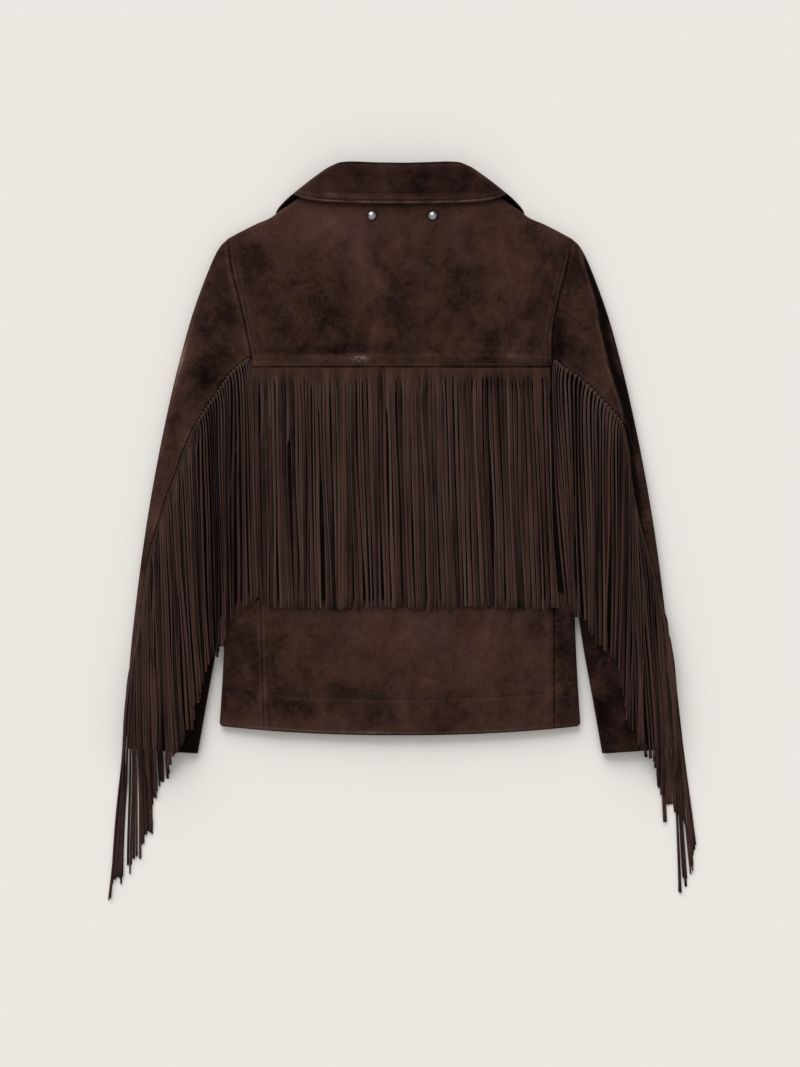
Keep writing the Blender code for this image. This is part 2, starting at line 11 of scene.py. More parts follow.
import bmesh
import bpy
import numpy as np
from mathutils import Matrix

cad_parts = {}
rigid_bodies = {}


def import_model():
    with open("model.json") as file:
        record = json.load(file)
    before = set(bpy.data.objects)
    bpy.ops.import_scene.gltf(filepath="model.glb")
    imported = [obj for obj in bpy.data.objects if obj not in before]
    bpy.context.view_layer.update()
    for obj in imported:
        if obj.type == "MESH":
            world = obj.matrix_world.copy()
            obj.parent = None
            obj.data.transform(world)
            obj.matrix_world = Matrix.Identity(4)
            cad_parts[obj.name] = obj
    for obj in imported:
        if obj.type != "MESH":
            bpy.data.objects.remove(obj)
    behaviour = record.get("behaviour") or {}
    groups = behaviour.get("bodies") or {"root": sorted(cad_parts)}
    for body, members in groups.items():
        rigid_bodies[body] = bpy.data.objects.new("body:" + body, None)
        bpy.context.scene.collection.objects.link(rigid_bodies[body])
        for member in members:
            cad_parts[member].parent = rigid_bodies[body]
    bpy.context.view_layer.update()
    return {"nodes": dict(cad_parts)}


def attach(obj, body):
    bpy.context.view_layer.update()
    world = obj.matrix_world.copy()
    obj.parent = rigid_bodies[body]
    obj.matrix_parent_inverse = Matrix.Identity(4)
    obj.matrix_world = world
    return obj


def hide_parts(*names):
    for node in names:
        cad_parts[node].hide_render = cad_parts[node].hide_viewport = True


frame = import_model()
MM = 0.001
print("the frame has", len(frame["nodes"]), "nodes")

# %% [markdown]
# ## The camera
# A garment on a table is seen from straight above. A long lens far away keeps the edges of the
# thick fringe from leaning outwards, so a 100 mm lens is raised until the picture takes in the
# right height of table.

# %% Camera
LENS = 100
SENSOR = 36
PICTURE_HEIGHT = 1.2804
CLOTH_LEVEL = 0.012

camera_data = bpy.data.cameras.new("above")
camera_data.lens = LENS
camera_data.sensor_width = SENSOR
camera = bpy.data.objects.new("above", camera_data)
camera.location = (0, 0, CLOTH_LEVEL + PICTURE_HEIGHT * LENS / SENSOR)
bpy.context.scene.collection.objects.link(camera)
bpy.context.scene.camera = camera
print("camera height", round(camera.location.z, 3))

# %% [markdown]
# ## Reading the cut
# A pattern cutter writes down a few widths and joins them with a curved ruler. The class below
# does that: a table has a row for each height, and a smooth curve runs through its rows.

# %% A table read as smooth curves


class Table:
    """Rows of numbers under named columns. The first column is the key, and it rises."""

    def __init__(self, names, rows):
        values = np.array(rows, float)
        self.key = values[:, 0]
        self.columns = dict(zip(names.split(), values.T))

    def at(self, name, key):
        """Cubic Hermite curve: between two rows, the value follows both rows and their slopes."""
        value = self.columns[name]
        slope = np.gradient(value, self.key)
        key = np.clip(key, self.key[0], self.key[-1])
        row = np.clip(np.searchsorted(self.key, key) - 1, 0, len(self.key) - 2)
        step = self.key[row + 1] - self.key[row]
        t = (key - self.key[row]) / step
        rising = t * t * (3 - 2 * t)
        bend = slope[row] * t * (1 - t) ** 2 - slope[row + 1] * t * t * (1 - t)
        return value[row] * (1 - rising) + value[row + 1] * rising + bend * step


def ease(share):
    """Rises from 0 to 1 with no corner at either end: 3 s^2 - 2 s^3."""
    share = np.clip(share, 0, 1)
    return share * share * (3 - 2 * share)


def fade(share):
    """Falls from 1 to 0 in the same way."""
    return 1 - ease(share)


def bump(distance, width):
    """A soft hill of height 1 about distance 0: exp(-(d / w)^2)."""
    return np.exp(-((distance / width) ** 2))


print("a curve through 0, 1 and 0 passes", Table("x y", [(0, 0), (1, 1), (2, 0)]).at("y", 0.5))

# %% [markdown]
# ## The cut of the jacket
# These are the sizes of the real panels, in metres, with x measured outwards from the centre
# back. Both sides of a seam read the same table, so they meet along its whole length.

# %% Sizes and tables of the body
SUEDE = 1.5 * MM
COLLAR_WALL = 2.2 * MM
GAP = 0.3 * MM
FLOOR_LAYER = 0.75 * MM
UPPER_LAYER = 13.75 * MM
FOLD_RADIUS = 6.5 * MM
FOLD_HEIGHT = 7.25 * MM
BODY_CROWN = 2 * MM
SLEEVE_CROWN = 3 * MM
HEM_Y = -0.242
HEM_RISE = 0.011
HEM_HALF = 0.2155
HEM_TURN = 44 * MM
HEM_STITCH_Y = HEM_Y + HEM_TURN
HEM_FADE = 0.16
CUFF_Y = -0.264
CUFF_RISE = 0.006
CUFF_TURN = 26 * MM
CUFF_FADE = 0.12
UNDERARM_Y = 0.110
SIDE_SEAM_TOP_Y = 0.160
SEAM_BESIDE_ARMHOLE = 2 * MM
YOKE_Y = 0.200
SLEEVE_APEX_Y = 0.347
SHOULDER_HALF = 0.2065
NECK_HALF = 0.085
SIDES = {"left": -1, "right": 1}

BODY = Table("y half", [
    (-0.242, 0.216), (-0.171, 0.212), (-0.09, 0.209), (0, 0.207), (0.06, 0.204), (0.11, 0.197),
])
ARMHOLE = Table("y left right", [
    (0.11, 0.197, 0.197), (0.148, 0.19, 0.192), (0.205, 0.1772, 0.1832), (0.23, 0.1815, 0.1822),
    (0.28, 0.1925, 0.19), (0.312, 0.2005, 0.198), (0.35, 0.207, 0.2065),
])
BACK_SEAM = Table("y left right", [
    (-0.242, 0.163, 0.185), (-0.087, 0.167, 0.185), (0.05, 0.172, 0.1858), (0.11, 0.178, 0.187),
    (0.16, 0.188, 0.192),
])
FRONT_SEAM = Table("y x", [
    (-0.242, 0.175), (0, 0.168), (0.06, 0.168), (0.11, 0.175), (0.16, 0.192),
])
SHOULDER = [
    (0.1206, 0.403), (0.133, 0.394), (0.1458, 0.3855), (0.152, 0.3805), (0.172, 0.3712),
    (0.19, 0.3622), (0.2065, 0.3533),
]
YOKE_TOP = Table("x y", [
    (0, 0.423), (0.06, 0.421), (0.085, 0.417), (0.1, 0.412), (0.112, 0.4075), *SHOULDER,
])
FRONT_TOP = Table("x y", [
    (0, 0.3), (0.045, 0.355), (0.085, 0.398), (0.1, 0.404), (0.112, 0.4045), *SHOULDER,
])
print("back length", round(YOKE_TOP.at("y", 0.0) - HEM_Y, 3))

# %% Tables of the sleeves
SLEEVE_INNER = Table("y x", [
    (-0.264, 0.2437), (-0.206, 0.2335), (-0.107, 0.2165), (-0.05, 0.2108), (0, 0.2088),
    (0.06, 0.2058), (0.11, 0.199),
])
SLEEVE_OUTER = Table("y x", [
    (-0.264, 0.328), (-0.162, 0.3245), (-0.075, 0.3155), (0, 0.3055), (0.114, 0.2853),
    (0.21, 0.2635), (0.268, 0.247), (0.3162, 0.2292), (0.332, 0.2224), (0.341, 0.2176),
    (0.347, 0.2134),
])
SLEEVE_SEAM = {
    "left": Table("y x", [
        (-0.264, 0.319), (-0.146, 0.315), (-0.044, 0.3038), (-0.014, 0.2978), (0.014, 0.2888),
        (0.047, 0.2784), (0.076, 0.2672), (0.105, 0.2568), (0.131, 0.245), (0.169, 0.22),
        (0.197, 0.1995), (0.213, 0.1795),
    ]),
    "right": Table("y x", [
        (-0.264, 0.319), (-0.146, 0.3145), (-0.033, 0.301), (0.01, 0.2885), (0.065, 0.2775),
        (0.11, 0.2725), (0.137, 0.264), (0.155, 0.2488), (0.172, 0.2322), (0.19, 0.2124),
        (0.201, 0.1956), (0.211, 0.1838),
    ]),
}
LOWER_SEAM = Table("y share", [(-0.264, 0.45), (0.06, 0.4), (0.11, 0.3), (0.213, 0)])
print("rows of the left fringed seam:", len(SLEEVE_SEAM["left"].key))

# %% Edges read from the tables


def hem_y(x):
    """The hem rises a little from the centre back towards the sides, as |x|^2.2."""
    return HEM_Y + HEM_RISE * np.abs(x / HEM_HALF) ** 2.2


def cuff_y(x):
    """The cuff's edge slants up from its inner fold to its outer one."""
    inner = SLEEVE_INNER.at("x", CUFF_Y)
    return CUFF_Y + CUFF_RISE * (x - inner) / (SLEEVE_OUTER.at("x", CUFF_Y) - inner)


def lower_seam(y, side):
    """x of the seam under the sleeve, at its share of the width."""
    inner = sleeve_inner(y, side)
    return inner + LOWER_SEAM.at("share", y) * (SLEEVE_OUTER.at("x", y) - inner)


def hem_rows(level, x):
    """y along rows that follow the hem at the bottom and grow level above it."""
    return level + (hem_y(x) - HEM_Y) * fade((level - HEM_Y) / HEM_FADE)


def cuff_rows(level, x):
    """The same for rows that follow the edge of the cuff."""
    return level + (cuff_y(x) - CUFF_Y) * fade((level - CUFF_Y) / CUFF_FADE)


def side_seam(seam_x, y, side):
    """x of a side seam, which keeps inside the armhole where the two run up side by side."""
    return np.minimum(seam_x, ARMHOLE.at(side, y) - SEAM_BESIDE_ARMHOLE)


def panel_edge(seam_x, y, side):
    """x of the outer edge of the back or a front: its side seam, and the armhole above that."""
    seam_x = side_seam(seam_x, y, side)
    return np.where(y <= SIDE_SEAM_TOP_Y, seam_x, ARMHOLE.at(side, y)) - GAP / 2


def body_half(y, side):
    """Half the width of the laid body, up to the armhole above the underarm."""
    return np.where(y <= UNDERARM_Y, BODY.at("half", y), ARMHOLE.at(side, y))


def sleeve_inner(y, side):
    """x of the inner fold of a sleeve, and of the armhole above the underarm."""
    return np.where(y <= UNDERARM_Y, SLEEVE_INNER.at("x", y), ARMHOLE.at(side, y))


def sleeve_seam(y, side):
    """x of the fringed seam, and of the armhole above the place where the two meet."""
    seam = SLEEVE_SEAM[side]
    return np.where(y < seam.key[-1], seam.at("x", y), ARMHOLE.at(side, y))


print("cuff width", round(float(SLEEVE_OUTER.at("x", CUFF_Y) - SLEEVE_INNER.at("x", CUFF_Y)), 4))

# %% Tables of the fringe
BACK_FRINGE = Table("y left right", [
    (-0.0885, 0.1705, 0.189), (0.06, 0.173, 0.185), (0.198, 0.1755, 0.178),
])
SLEEVE_FRINGE = {
    "left": Table("y length lean swing", [
        (-146, 297, 35, 13), (-123, 297, 23, 10), (-104, 297, 8, 7), (-77, 297, -4, 4),
        (-25, 297, -5, 0), (-8, 297, -8, 0), (28, 297, -16, 0), (55, 297, -21, 0),
        (77, 297, -21, 0), (110, 297, -16, 0), (144, 297, -13, 0), (165, 297, -12, 0),
        (190, 294, -5, 0), (200, 293, -7, 0), (213, 286, -16, 0),
    ]),
    "right": Table("y length lean swing", [
        (-146, 294, 21, 14), (-137, 297, 26, 14), (-120, 298, 36, 14), (-90, 298, 42, 14),
        (-66, 297, 43, 12), (-45, 297, 28, 9), (-14, 297, 19, 5), (12, 297, 19, 2),
        (40, 297, 8, 0), (64, 297, -1, 0), (100, 297, -4, 0), (140, 297, -6, 0), (172, 297, 0, 0),
        (184, 297, 2, 0), (191, 297, 5, 0), (198, 297, 13, 0), (204, 297, 14, 0), (211, 297, 9, 0),
    ]),
}
FRINGE_FROM_X = 0.178


def under_fringe(x, y):
    """1 where strands cover the suede, 0 elsewhere, with soft limits: where shade is painted under them.
    """
    middle = -BACK_FRINGE.at("left", y) < x
    middle = middle & (x < BACK_FRINGE.at("right", y))
    cover = middle * ease((y + 0.083) / 0.006) * ease((YOKE_Y - y) / 0.004)
    for side, sign in SIDES.items():
        root = SLEEVE_FRINGE[side].key * MM
        tip_x = SLEEVE_SEAM[side].at("x", root) + SLEEVE_FRINGE[side].at("lean", root / MM) * MM
        tip_y = root - SLEEVE_FRINGE[side].at("length", root / MM) * MM
        order = np.argsort(tip_x)
        out = sign * x
        above = y - np.interp(out, tip_x[order], tip_y[order])
        inside = ease((out - FRINGE_FROM_X) / 0.004) * ease((sleeve_seam(y, side) - out) / 0.006)
        cover = np.maximum(cover, inside * ease((above - 12 * MM) / 0.008))
    return cover


print("longest strand", round(float(max(SLEEVE_FRINGE["right"].columns["length"])), 1), "mm")

# %% [markdown]
# ## Creases
# Suede that has been worn and laid flat keeps soft creases. They could come from a simulation,
# but a table of troughs and ridges puts each one where it belongs. A row is one crease: its
# middle, its direction, half its length, its half width and its height. A few long sine waves
# of random direction add the slight unevenness that no table would list.

# %% Creases and unevenness
CREASE = "y x turn reach width height"


def creases(x, y, table):
    """Sum over the rows of height * exp(-(across / width)^2 - (along / reach)^4)."""
    middle_y, middle_x, turn, reach, width, height = table.columns.values()
    turn = np.radians(turn)
    dx = x[..., None] - middle_x * MM
    dy = y[..., None] - middle_y * MM
    along = dx * np.cos(turn) + dy * np.sin(turn)
    across = dy * np.cos(turn) - dx * np.sin(turn)
    shape = np.exp(-((across / (width * MM)) ** 2) - (along / (reach * MM)) ** 4)
    return (height * MM * shape).sum(axis=-1)


def waves(x, y, seed, span, count=14):
    """About -1 to 1: the scaled sum of sine waves about span long, turned and shifted at random."""
    chance = np.random.default_rng(seed)
    turn = chance.uniform(0, 2 * np.pi, count)
    rate = 2 * np.pi / (span * chance.uniform(0.6, 1.6, count))
    phase = chance.uniform(0, 2 * np.pi, count)
    angle = x[..., None] * rate * np.cos(turn) + y[..., None] * rate * np.sin(turn) + phase
    return np.sin(angle).sum(axis=-1) / np.sqrt(count / 2)


BODY_CREASES = Table(CREASE, [
    (-214, 40, 4, 70, 7, 0.5), (-208, -120, 172, 60, 6, -0.6), (-183, -70, 6, 60, 8, 0.7),
    (-172, 20, 2, 50, 9, -0.6), (-150, -172, 84, 40, 9, -0.9), (-146, -110, 78, 34, 10, 0.8),
    (-140, 118, 96, 36, 11, 0.7), (-132, 160, 92, 38, 8, -0.8), (-120, 20, 80, 30, 13, 0.5),
    (-112, -40, 100, 26, 12, -0.5), (212, -40, 0, 26, 6, 0.8), (214, 110, 6, 28, 6, 0.6),
    (222, 80, 120, 16, 7, -0.7), (224, -60, 60, 18, 8, -0.7), (228, -120, 130, 22, 9, -0.6),
    (240, 150, 74, 26, 6, -0.9), (246, -160, 108, 30, 6, 0.8), (262, 0, 88, 34, 12, -0.6),
    (270, -168, 112, 26, 5, -0.8), (276, 60, 98, 36, 13, 0.6), (290, 168, 70, 24, 7, 0.7),
    (300, -70, 40, 34, 14, 0.6), (318, -150, 150, 26, 10, -0.7), (326, 140, 30, 28, 11, -0.7),
    (334, 20, 170, 40, 12, 0.5), (352, -110, 24, 30, 9, 0.5), (356, 96, 160, 30, 9, -0.5),
    (381, -34, 0, 5, 5, -0.5), (381, 39, 0, 5, 5, -0.5),
])
SLEEVE_CREASES = {
    "left": Table(CREASE, [
        (-236, 280, 10, 30, 6, -0.7), (-200, 300, 160, 20, 6, 0.6), (-142, 318, 110, 14, 4, -1.2),
        (-120, 300, 70, 26, 7, 0.6), (-64, 300, 80, 24, 7, -0.6), (0, 296, 96, 30, 6, 0.6),
        (120, 258, 112, 26, 7, 0.8), (150, 262, 106, 28, 6, -0.9), (196, 240, 108, 30, 7, 0.7),
        (216, 206, 100, 22, 7, -0.9), (244, 190, 104, 24, 4, 0.9), (258, 212, 104, 34, 9, -0.9),
        (268, 232, 112, 30, 6, 0.7), (292, 216, 118, 26, 8, 0.7), (310, 206, 124, 16, 6, -0.7),
    ]),
    "right": Table(CREASE, [
        (-236, 280, 170, 30, 6, -0.7), (-170, 300, 20, 20, 6, 0.6), (-80, 300, 96, 26, 7, 0.6),
        (30, 296, 100, 30, 6, -0.6), (178, 236, 130, 18, 7, -0.8), (200, 222, 120, 30, 8, 0.9),
        (226, 196, 100, 22, 7, -0.8), (250, 222, 106, 34, 9, 0.7), (262, 198, 96, 24, 6, -0.9),
        (286, 212, 110, 26, 7, 0.8), (304, 204, 120, 18, 6, -0.7),
    ]),
}
print("creases on the body:", len(BODY_CREASES.key))

# %% [markdown]
# ## Brushed nap
# Suede looks lighter where its nap leans one way and darker where it leans the other, so hands
# leave patches on it. The tone of each point is stored in the mesh as an attribute: a table
# gives the large patches, and the material adds the small ones. The table's patches are partly
# painted light and shade as well, such as the darker right side panel where it slopes away
# from the light.

# %% Tone of the nap
PATCH = "y x reach_x reach_y tone"


def patches(x, y, table):
    """Sum over the rows of tone * exp(-(dx / reach_x)^2 - (dy / reach_y)^2)."""
    middle_y, middle_x, reach_x, reach_y, tone = table.columns.values()
    dx = (x[..., None] - middle_x * MM) / (reach_x * MM)
    dy = (y[..., None] - middle_y * MM) / (reach_y * MM)
    return (tone * np.exp(-(dx**2) - dy**2)).sum(axis=-1)


# patches of brushed nap, and partly painted light and shade where cloth turns to or from the light
NAP_AND_PAINTED_LIGHT = Table(PATCH, [
    (-250, 245, 30, 14, 0.6), (-238, -35, 34, 7, 0.5), (-236, 0, 110, 7, 0.5),
    (-231, -166, 60, 8, 0.63), (-228, -100, 60, 12, 0.5), (-226, 118, 50, 14, 0.6),
    (-215, -25, 50, 20, 0.15), (-212, 40, 70, 26, -0.25), (-209, -136, 60, 16, -0.5),
    (-189, -57, 70, 12, -0.44), (-176, -11, 60, 16, 0.35), (-170, 212, 8, 30, -0.4),
    (-165, -203, 18, 70, -0.8), (-165, 195, 22, 80, -0.5), (-164, -126, 16, 14, -0.45),
    (-158, -172, 30, 38, -0.44), (-149, -140, 24, 34, -0.31), (-143, -40, 110, 50, 0.38),
    (-140, 193, 10, 60, -0.5), (-130, 60, 80, 60, 0.25), (-113, 168, 26, 24, -0.44),
    (-110, 205, 20, 50, -0.7), (-104, -107, 20, 14, 0.5), (-98, -60, 80, 7, 0.45),
    (-92, -120, 24, 6, 0.5), (-92, 183, 8, 10, -0.6), (100, -263, 12, 40, -0.35),
    (170, -235, 18, 24, -0.5), (190, 85, 14, 12, -0.6), (190, -235, 18, 18, -0.5),
    (196, 222, 22, 18, -0.15), (196, 234, 26, 30, 0.31), (196, 181, 12, 14, -0.7),
    (206, 110, 40, 14, -0.45), (207, 125, 45, 9, -0.5), (208, -240, 24, 44, -0.56),
    (208, -207, 22, 20, -0.44), (213, -48, 22, 9, 0.88), (214, 131, 20, 9, 0.63),
    (216, -60, 44, 7, -1.1), (218, -14, 20, 22, -0.6), (218, -167, 12, 8, -0.6),
    (218, -130, 40, 8, -0.4), (224, -124, 34, 20, -0.44), (224, -40, 40, 5, -0.4),
    (227, 108, 22, 24, -0.69), (228, 190, 7, 20, -0.9), (232, 208, 14, 18, 0.5),
    (232, 250, 10, 30, 0.5), (232, 160, 16, 12, -0.45), (243, -28, 26, 34, 0.25),
    (248, 186, 16, 50, -0.63), (249, 41, 26, 36, 0.18), (250, -70, 28, 50, -0.5),
    (250, 97, 12, 14, -0.4), (260, -212, 26, 80, -0.3), (262, -207, 28, 44, -0.5),
    (262, 196, 12, 16, -0.5), (264, 214, 26, 40, 0.31), (266, -4, 16, 44, -0.5),
    (268, 192, 20, 30, -0.5), (268, -119, 12, 10, -0.4), (278, -76, 38, 46, -0.44),
    (281, 70, 16, 40, -0.31), (286, -47, 12, 12, -0.4), (300, 98, 36, 50, -0.6),
    (310, -24, 14, 36, 0.8), (314, 145, 30, 40, 0.25), (322, 88, 20, 12, -0.35),
    (326, 206, 22, 24, -0.31), (330, -176, 26, 22, -0.63), (352, -145, 34, 22, 0.35),
    (358, -16, 60, 28, 0.31), (358, 157, 22, 20, -0.5), (364, -165, 14, 12, 0.7),
    (364, 170, 12, 12, 0.5), (366, 25, 10, 12, 0.5), (372, -70, 40, 16, 0.35),
    (374, -89, 70, 30, 0.6), (376, -84, 16, 14, 0.3), (420, -70, 50, 14, 0.5),
    (424, 60, 60, 16, -0.31), (437, 0, 70, 7, 0.7),
])
print("patches of nap:", len(NAP_AND_PAINTED_LIGHT.key))

# %% [markdown]
# ## From grids to meshes
# Every panel is a grid: one parameter runs along the body, the other across it. The helper
# below turns grids into one mesh in two array writes, stores the tone of the nap with its painted
# light and shade, and lets Solidify give the suede its thickness.

# %% Meshes from grids


def grid_quads(rows, columns):
    """Four corners for each cell of a grid of points that is stored row by row."""
    corner = np.arange(rows * columns).reshape(rows, columns)
    cells = [corner[:-1, :-1], corner[:-1, 1:], corner[1:, 1:], corner[1:, :-1]]
    return np.stack(cells, axis=-1).reshape(-1, 4)


def mesh_from(name, points, quads):
    """A smooth mesh from an array of points and an array of four corners a face."""
    mesh = bpy.data.meshes.new(name)
    mesh.vertices.add(len(points))
    mesh.vertices.foreach_set("co", np.ascontiguousarray(points, np.float32).ravel())
    mesh.loops.add(quads.size)
    mesh.loops.foreach_set("vertex_index", np.ascontiguousarray(quads, np.int32).ravel())
    mesh.polygons.add(len(quads))
    mesh.polygons.foreach_set("loop_start", np.arange(0, quads.size, 4, dtype=np.int32))
    mesh.update(calc_edges=True)
    mesh.shade_smooth()
    return mesh


def store(mesh, name, domain, values):
    """Keeps one number for each point or face under a name that a material can read."""
    layer = mesh.attributes.new(name, "FLOAT", domain)
    layer.data.foreach_set("value", np.ascontiguousarray(values, np.float32).ravel())


def weld(mesh, distance):
    """Joins points that are closer than distance, and turns all faces outwards."""
    form = bmesh.new()
    form.from_mesh(mesh)
    bmesh.ops.remove_doubles(form, verts=form.verts, dist=distance)
    bmesh.ops.recalc_face_normals(form, faces=form.faces)
    form.to_mesh(mesh)
    form.free()


def show(name, mesh, material):
    """An object of this mesh and material in the scene."""
    mesh.materials.append(material)
    piece = bpy.data.objects.new(name, mesh)
    bpy.context.scene.collection.objects.link(piece)
    return piece

# %% Pieces and panels


def put(name, mesh, material, replaced=()):
    """The same for a piece of the jacket, with the solids whose place it takes."""
    piece = show(name, mesh, material)
    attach(piece, "root")
    if replaced:
        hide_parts(*replaced)
    return piece


def grid_area(points):
    """Half the cross product of each cell's diagonals, summed."""
    one = points[1:, 1:] - points[:-1, :-1]
    other = points[1:, :-1] - points[:-1, 1:]
    return 0.5 * np.linalg.norm(np.cross(one, other), axis=-1).sum()


def panel(name, grids, material, replaced, wall=SUEDE):
    """A sheet of suede from grids of (points, tone) that share their first rows."""
    points = np.concatenate([g[0].reshape(-1, 3) for g in grids])
    tone = np.concatenate([g[1].ravel() for g in grids])
    starts = np.cumsum([0] + [g[1].size for g in grids[:-1]])
    quads = np.concatenate([grid_quads(*g[1].shape) + s for g, s in zip(grids, starts)])
    mesh = mesh_from(name, points, quads)
    store(mesh, "tone", "POINT", tone)
    weld(mesh, 0.02 * MM)
    piece = put(name, mesh, material, replaced)
    solid = piece.modifiers.new("wall", "SOLIDIFY")
    solid.thickness = wall
    solid.offset = 0
    area = sum(grid_area(g[0]) for g in grids)
    print(name, len(mesh.polygons), "faces,", round(area, 4), "square metres")
    return piece

# %% [markdown]
# ## Seams
# A seam pulls the edge of each panel down into a narrow valley, and the turned allowance under
# a topstitched edge lifts a flat band beside it. Both are functions of the distance to the edge,
# so the grids are given extra rows close to each seam.

# %% Rows near seams
NEAR_SEAM = np.array([0, 0.35, 0.8, 1.4, 2.2, 3.0, 4.0, 5.4, 7.2]) * MM
PITCH = 3.4 * MM


def rows_between(first, last, pitch=PITCH, lines=()):
    """Heights from first to last, closer together at both ends and about each line."""
    even = np.linspace(first, last, int((last - first) / pitch))
    marks = [first + NEAR_SEAM, last - NEAR_SEAM, even]
    marks += [line + sign * NEAR_SEAM[:6] for line in lines for sign in (-1, 1)]
    heights = np.unique(np.round(np.concatenate(marks), 5))
    return heights[(heights >= first) & (heights <= last)]


def shares(near, count):
    """Even shares from 0 to 1, and the given ones between them."""
    return np.unique(np.round(np.concatenate([near, np.linspace(0, 1, count)]), 5))


def columns_between(left, right, pitch=PITCH):
    """x from left to right for each row, with fixed distances near both edges. Also both distances."""
    width = (right - left)[:, None]
    near = NEAR_SEAM[None, :] + 0 * width
    inner = NEAR_SEAM[-1]
    share = np.linspace(0, 1, int(width.max() / pitch))[None, 1:-1]
    middle = inner + (width - 2 * inner) * share
    distance = np.concatenate([near, middle, width - near[:, ::-1]], axis=1)
    return left[:, None] + distance, distance, width - distance


print("closest rows to a seam, in mm:", NEAR_SEAM[:4] / MM)

# %% The shape of a seam


def seam(distance, roll=0.8 * MM, ridge=0, band=3 * MM, line=None):
    """Falls by roll at the edge, with a band of the height ridge beside it and a stitched groove."""
    height = -roll * bump(distance, 0.9 * MM)
    height = height + ridge * ease(distance / (1.2 * MM)) * fade((distance - band) / (2.5 * MM))
    if line is not None:
        height = height - 0.35 * MM * bump(distance - line, 0.7 * MM)
    return height


def seam_tone(distance, along, dark, light, place=2.6 * MM, width=1.3 * MM):
    """A dark line in the seam, and a pale line here and there on the ridge beside it: worn nap and a
    painted highlight.
    """
    # the pale line on the ridge: partly worn nap, partly a painted highlight
    rubbed_and_highlight = 1 + 0.5 * waves(along, 0 * along, 15, 30 * MM, 8)
    return light * rubbed_and_highlight * bump(distance - place, width) - dark * bump(distance, 1.0 * MM)


def puckers(along, distance, seed, reach=7 * MM):
    """Small uneven waves along a seam, fading away from it."""
    wave = waves(along, 0 * along, seed, 13 * MM, 8)
    return 0.24 * MM * wave * np.exp(-distance / reach)

# %% Heights of the laid body


def body_top(x, y, side):
    """The upper layer of the body: level at the sides, and higher in the middle by 1 - (x / half)^2."""
    crown = BODY_CROWN * (1 - np.clip(np.abs(x) / body_half(y, side), 0, 1) ** 2)
    return UPPER_LAYER + crown


def body_relief(x, y):
    """Creases and unevenness, fading towards the side folds and under the collar."""
    edge = ease((0.214 - np.abs(x)) / 0.008) * (1 - 0.7 * ease((y - 0.38) / 0.012))
    uneven = 0.30 * MM * waves(x, y, 3, 52 * MM) + 0.10 * MM * waves(x, y, 4, 17 * MM)
    return edge * (creases(x, y, BODY_CREASES) + uneven)


def hem_sag(from_edge):
    """The upper layer comes down towards an open edge: -4.5 mm * exp(-d / 16 mm)."""
    return -4.5 * MM * np.exp(-np.maximum(from_edge, 0) / (16 * MM))


def turned_edge(from_edge, turn):
    """A turned hem or cuff: it falls at its edge, with a stitched groove where the turning ends."""
    return -0.9 * MM * bump(from_edge, 1.6 * MM) - 0.3 * MM * bump(from_edge - turn, 0.8 * MM)


def stack(x, y, z, sign=1):
    """Points from three grids of one shape, mirrored in x if sign is -1."""
    x, y, z = np.broadcast_arrays(x, y, z)
    return np.stack([sign * x, y, z], axis=-1)


print("height of the middle of the back, in mm:", float(body_top(0.0, 0.0, "left")) / MM)

# %% [markdown]
# ## Shader maths as expressions
# A material is a graph of nodes. Wrapping an output in a small class lets the graph be written
# as a formula, such as 0.5 + 0.3 * mottle, and each operator adds the Math node that it needs.

# %% A socket with arithmetic


def fill_inputs(tree, node, values):
    """Each named input of a node gets a link from a Socket, or a plain value."""
    for name, value in values.items():
        if isinstance(value, Socket):
            tree.links.new(value.socket, node.inputs[name])
        else:
            node.inputs[name].default_value = value


class Socket:
    """One output in a material, with the operators that the finishes use."""

    def __init__(self, tree, socket):
        self.tree = tree
        self.socket = socket

    def node(self, kind, settings, values, output=0):
        """Adds a node: its settings are made first, then each socket gets a value or a link."""
        made = self.tree.nodes.new(kind)
        for name, value in settings.items():
            if name == "stops":
                ramp = made.color_ramp
                while len(ramp.elements) < len(value):
                    ramp.elements.new(0.5)
                for element, (position, colour) in zip(ramp.elements, value):
                    element.position = position
                    element.color = (*colour, 1)
            else:
                setattr(made, name, value)
        fill_inputs(self.tree, made, values)
        return Socket(self.tree, made.outputs[output])

    def math(self, operation, first, second):
        return self.node("ShaderNodeMath", {"operation": operation}, {0: first, 1: second})

    def __add__(self, other):
        return self.math("ADD", self, other)

    def __radd__(self, other):
        return self.math("ADD", other, self)

    def __sub__(self, other):
        return self.math("SUBTRACT", self, other)

    def __rsub__(self, other):
        return self.math("SUBTRACT", other, self)

    def __mul__(self, other):
        return self.math("MULTIPLY", self, other)

    def __rmul__(self, other):
        return self.math("MULTIPLY", other, self)

    def mixed(self, first, second):
        """A colour that goes from first to second as this mask goes from 0 to 1."""
        settings = {"data_type": "RGBA", "clamp_factor": True}
        return self.node("ShaderNodeMix", settings, {0: self, 6: first, 7: second}, output=2)

    def noise(self, scale, detail=2.0, roughness=0.55, distortion=0.0):
        """Noise of this scale per metre at the place that this Socket gives."""
        values = {"Vector": self, "Scale": scale, "Detail": detail}
        values |= {"Roughness": roughness, "Distortion": distortion}
        return self.node("ShaderNodeTexNoise", {}, values)

    def stretched(self, scale):
        """The same place with each axis scaled, so that a pattern read from it is drawn out."""
        return self.node("ShaderNodeMapping", {}, {"Vector": self, "Scale": scale})

    def ramp(self, stops):
        """The colour that a ramp has at this value."""
        return self.node("ShaderNodeValToRGB", {"stops": stops}, {"Fac": self})

    def relief(self, strength, distance):
        """The normal of a surface that is raised by this height."""
        values = {"Strength": strength, "Distance": distance, "Height": self}
        return self.node("ShaderNodeBump", {}, values)

    def reads(self, name):
        """A number stored in the mesh, by its name."""
        return self.node("ShaderNodeAttribute", {"attribute_name": name}, {}, output=2)

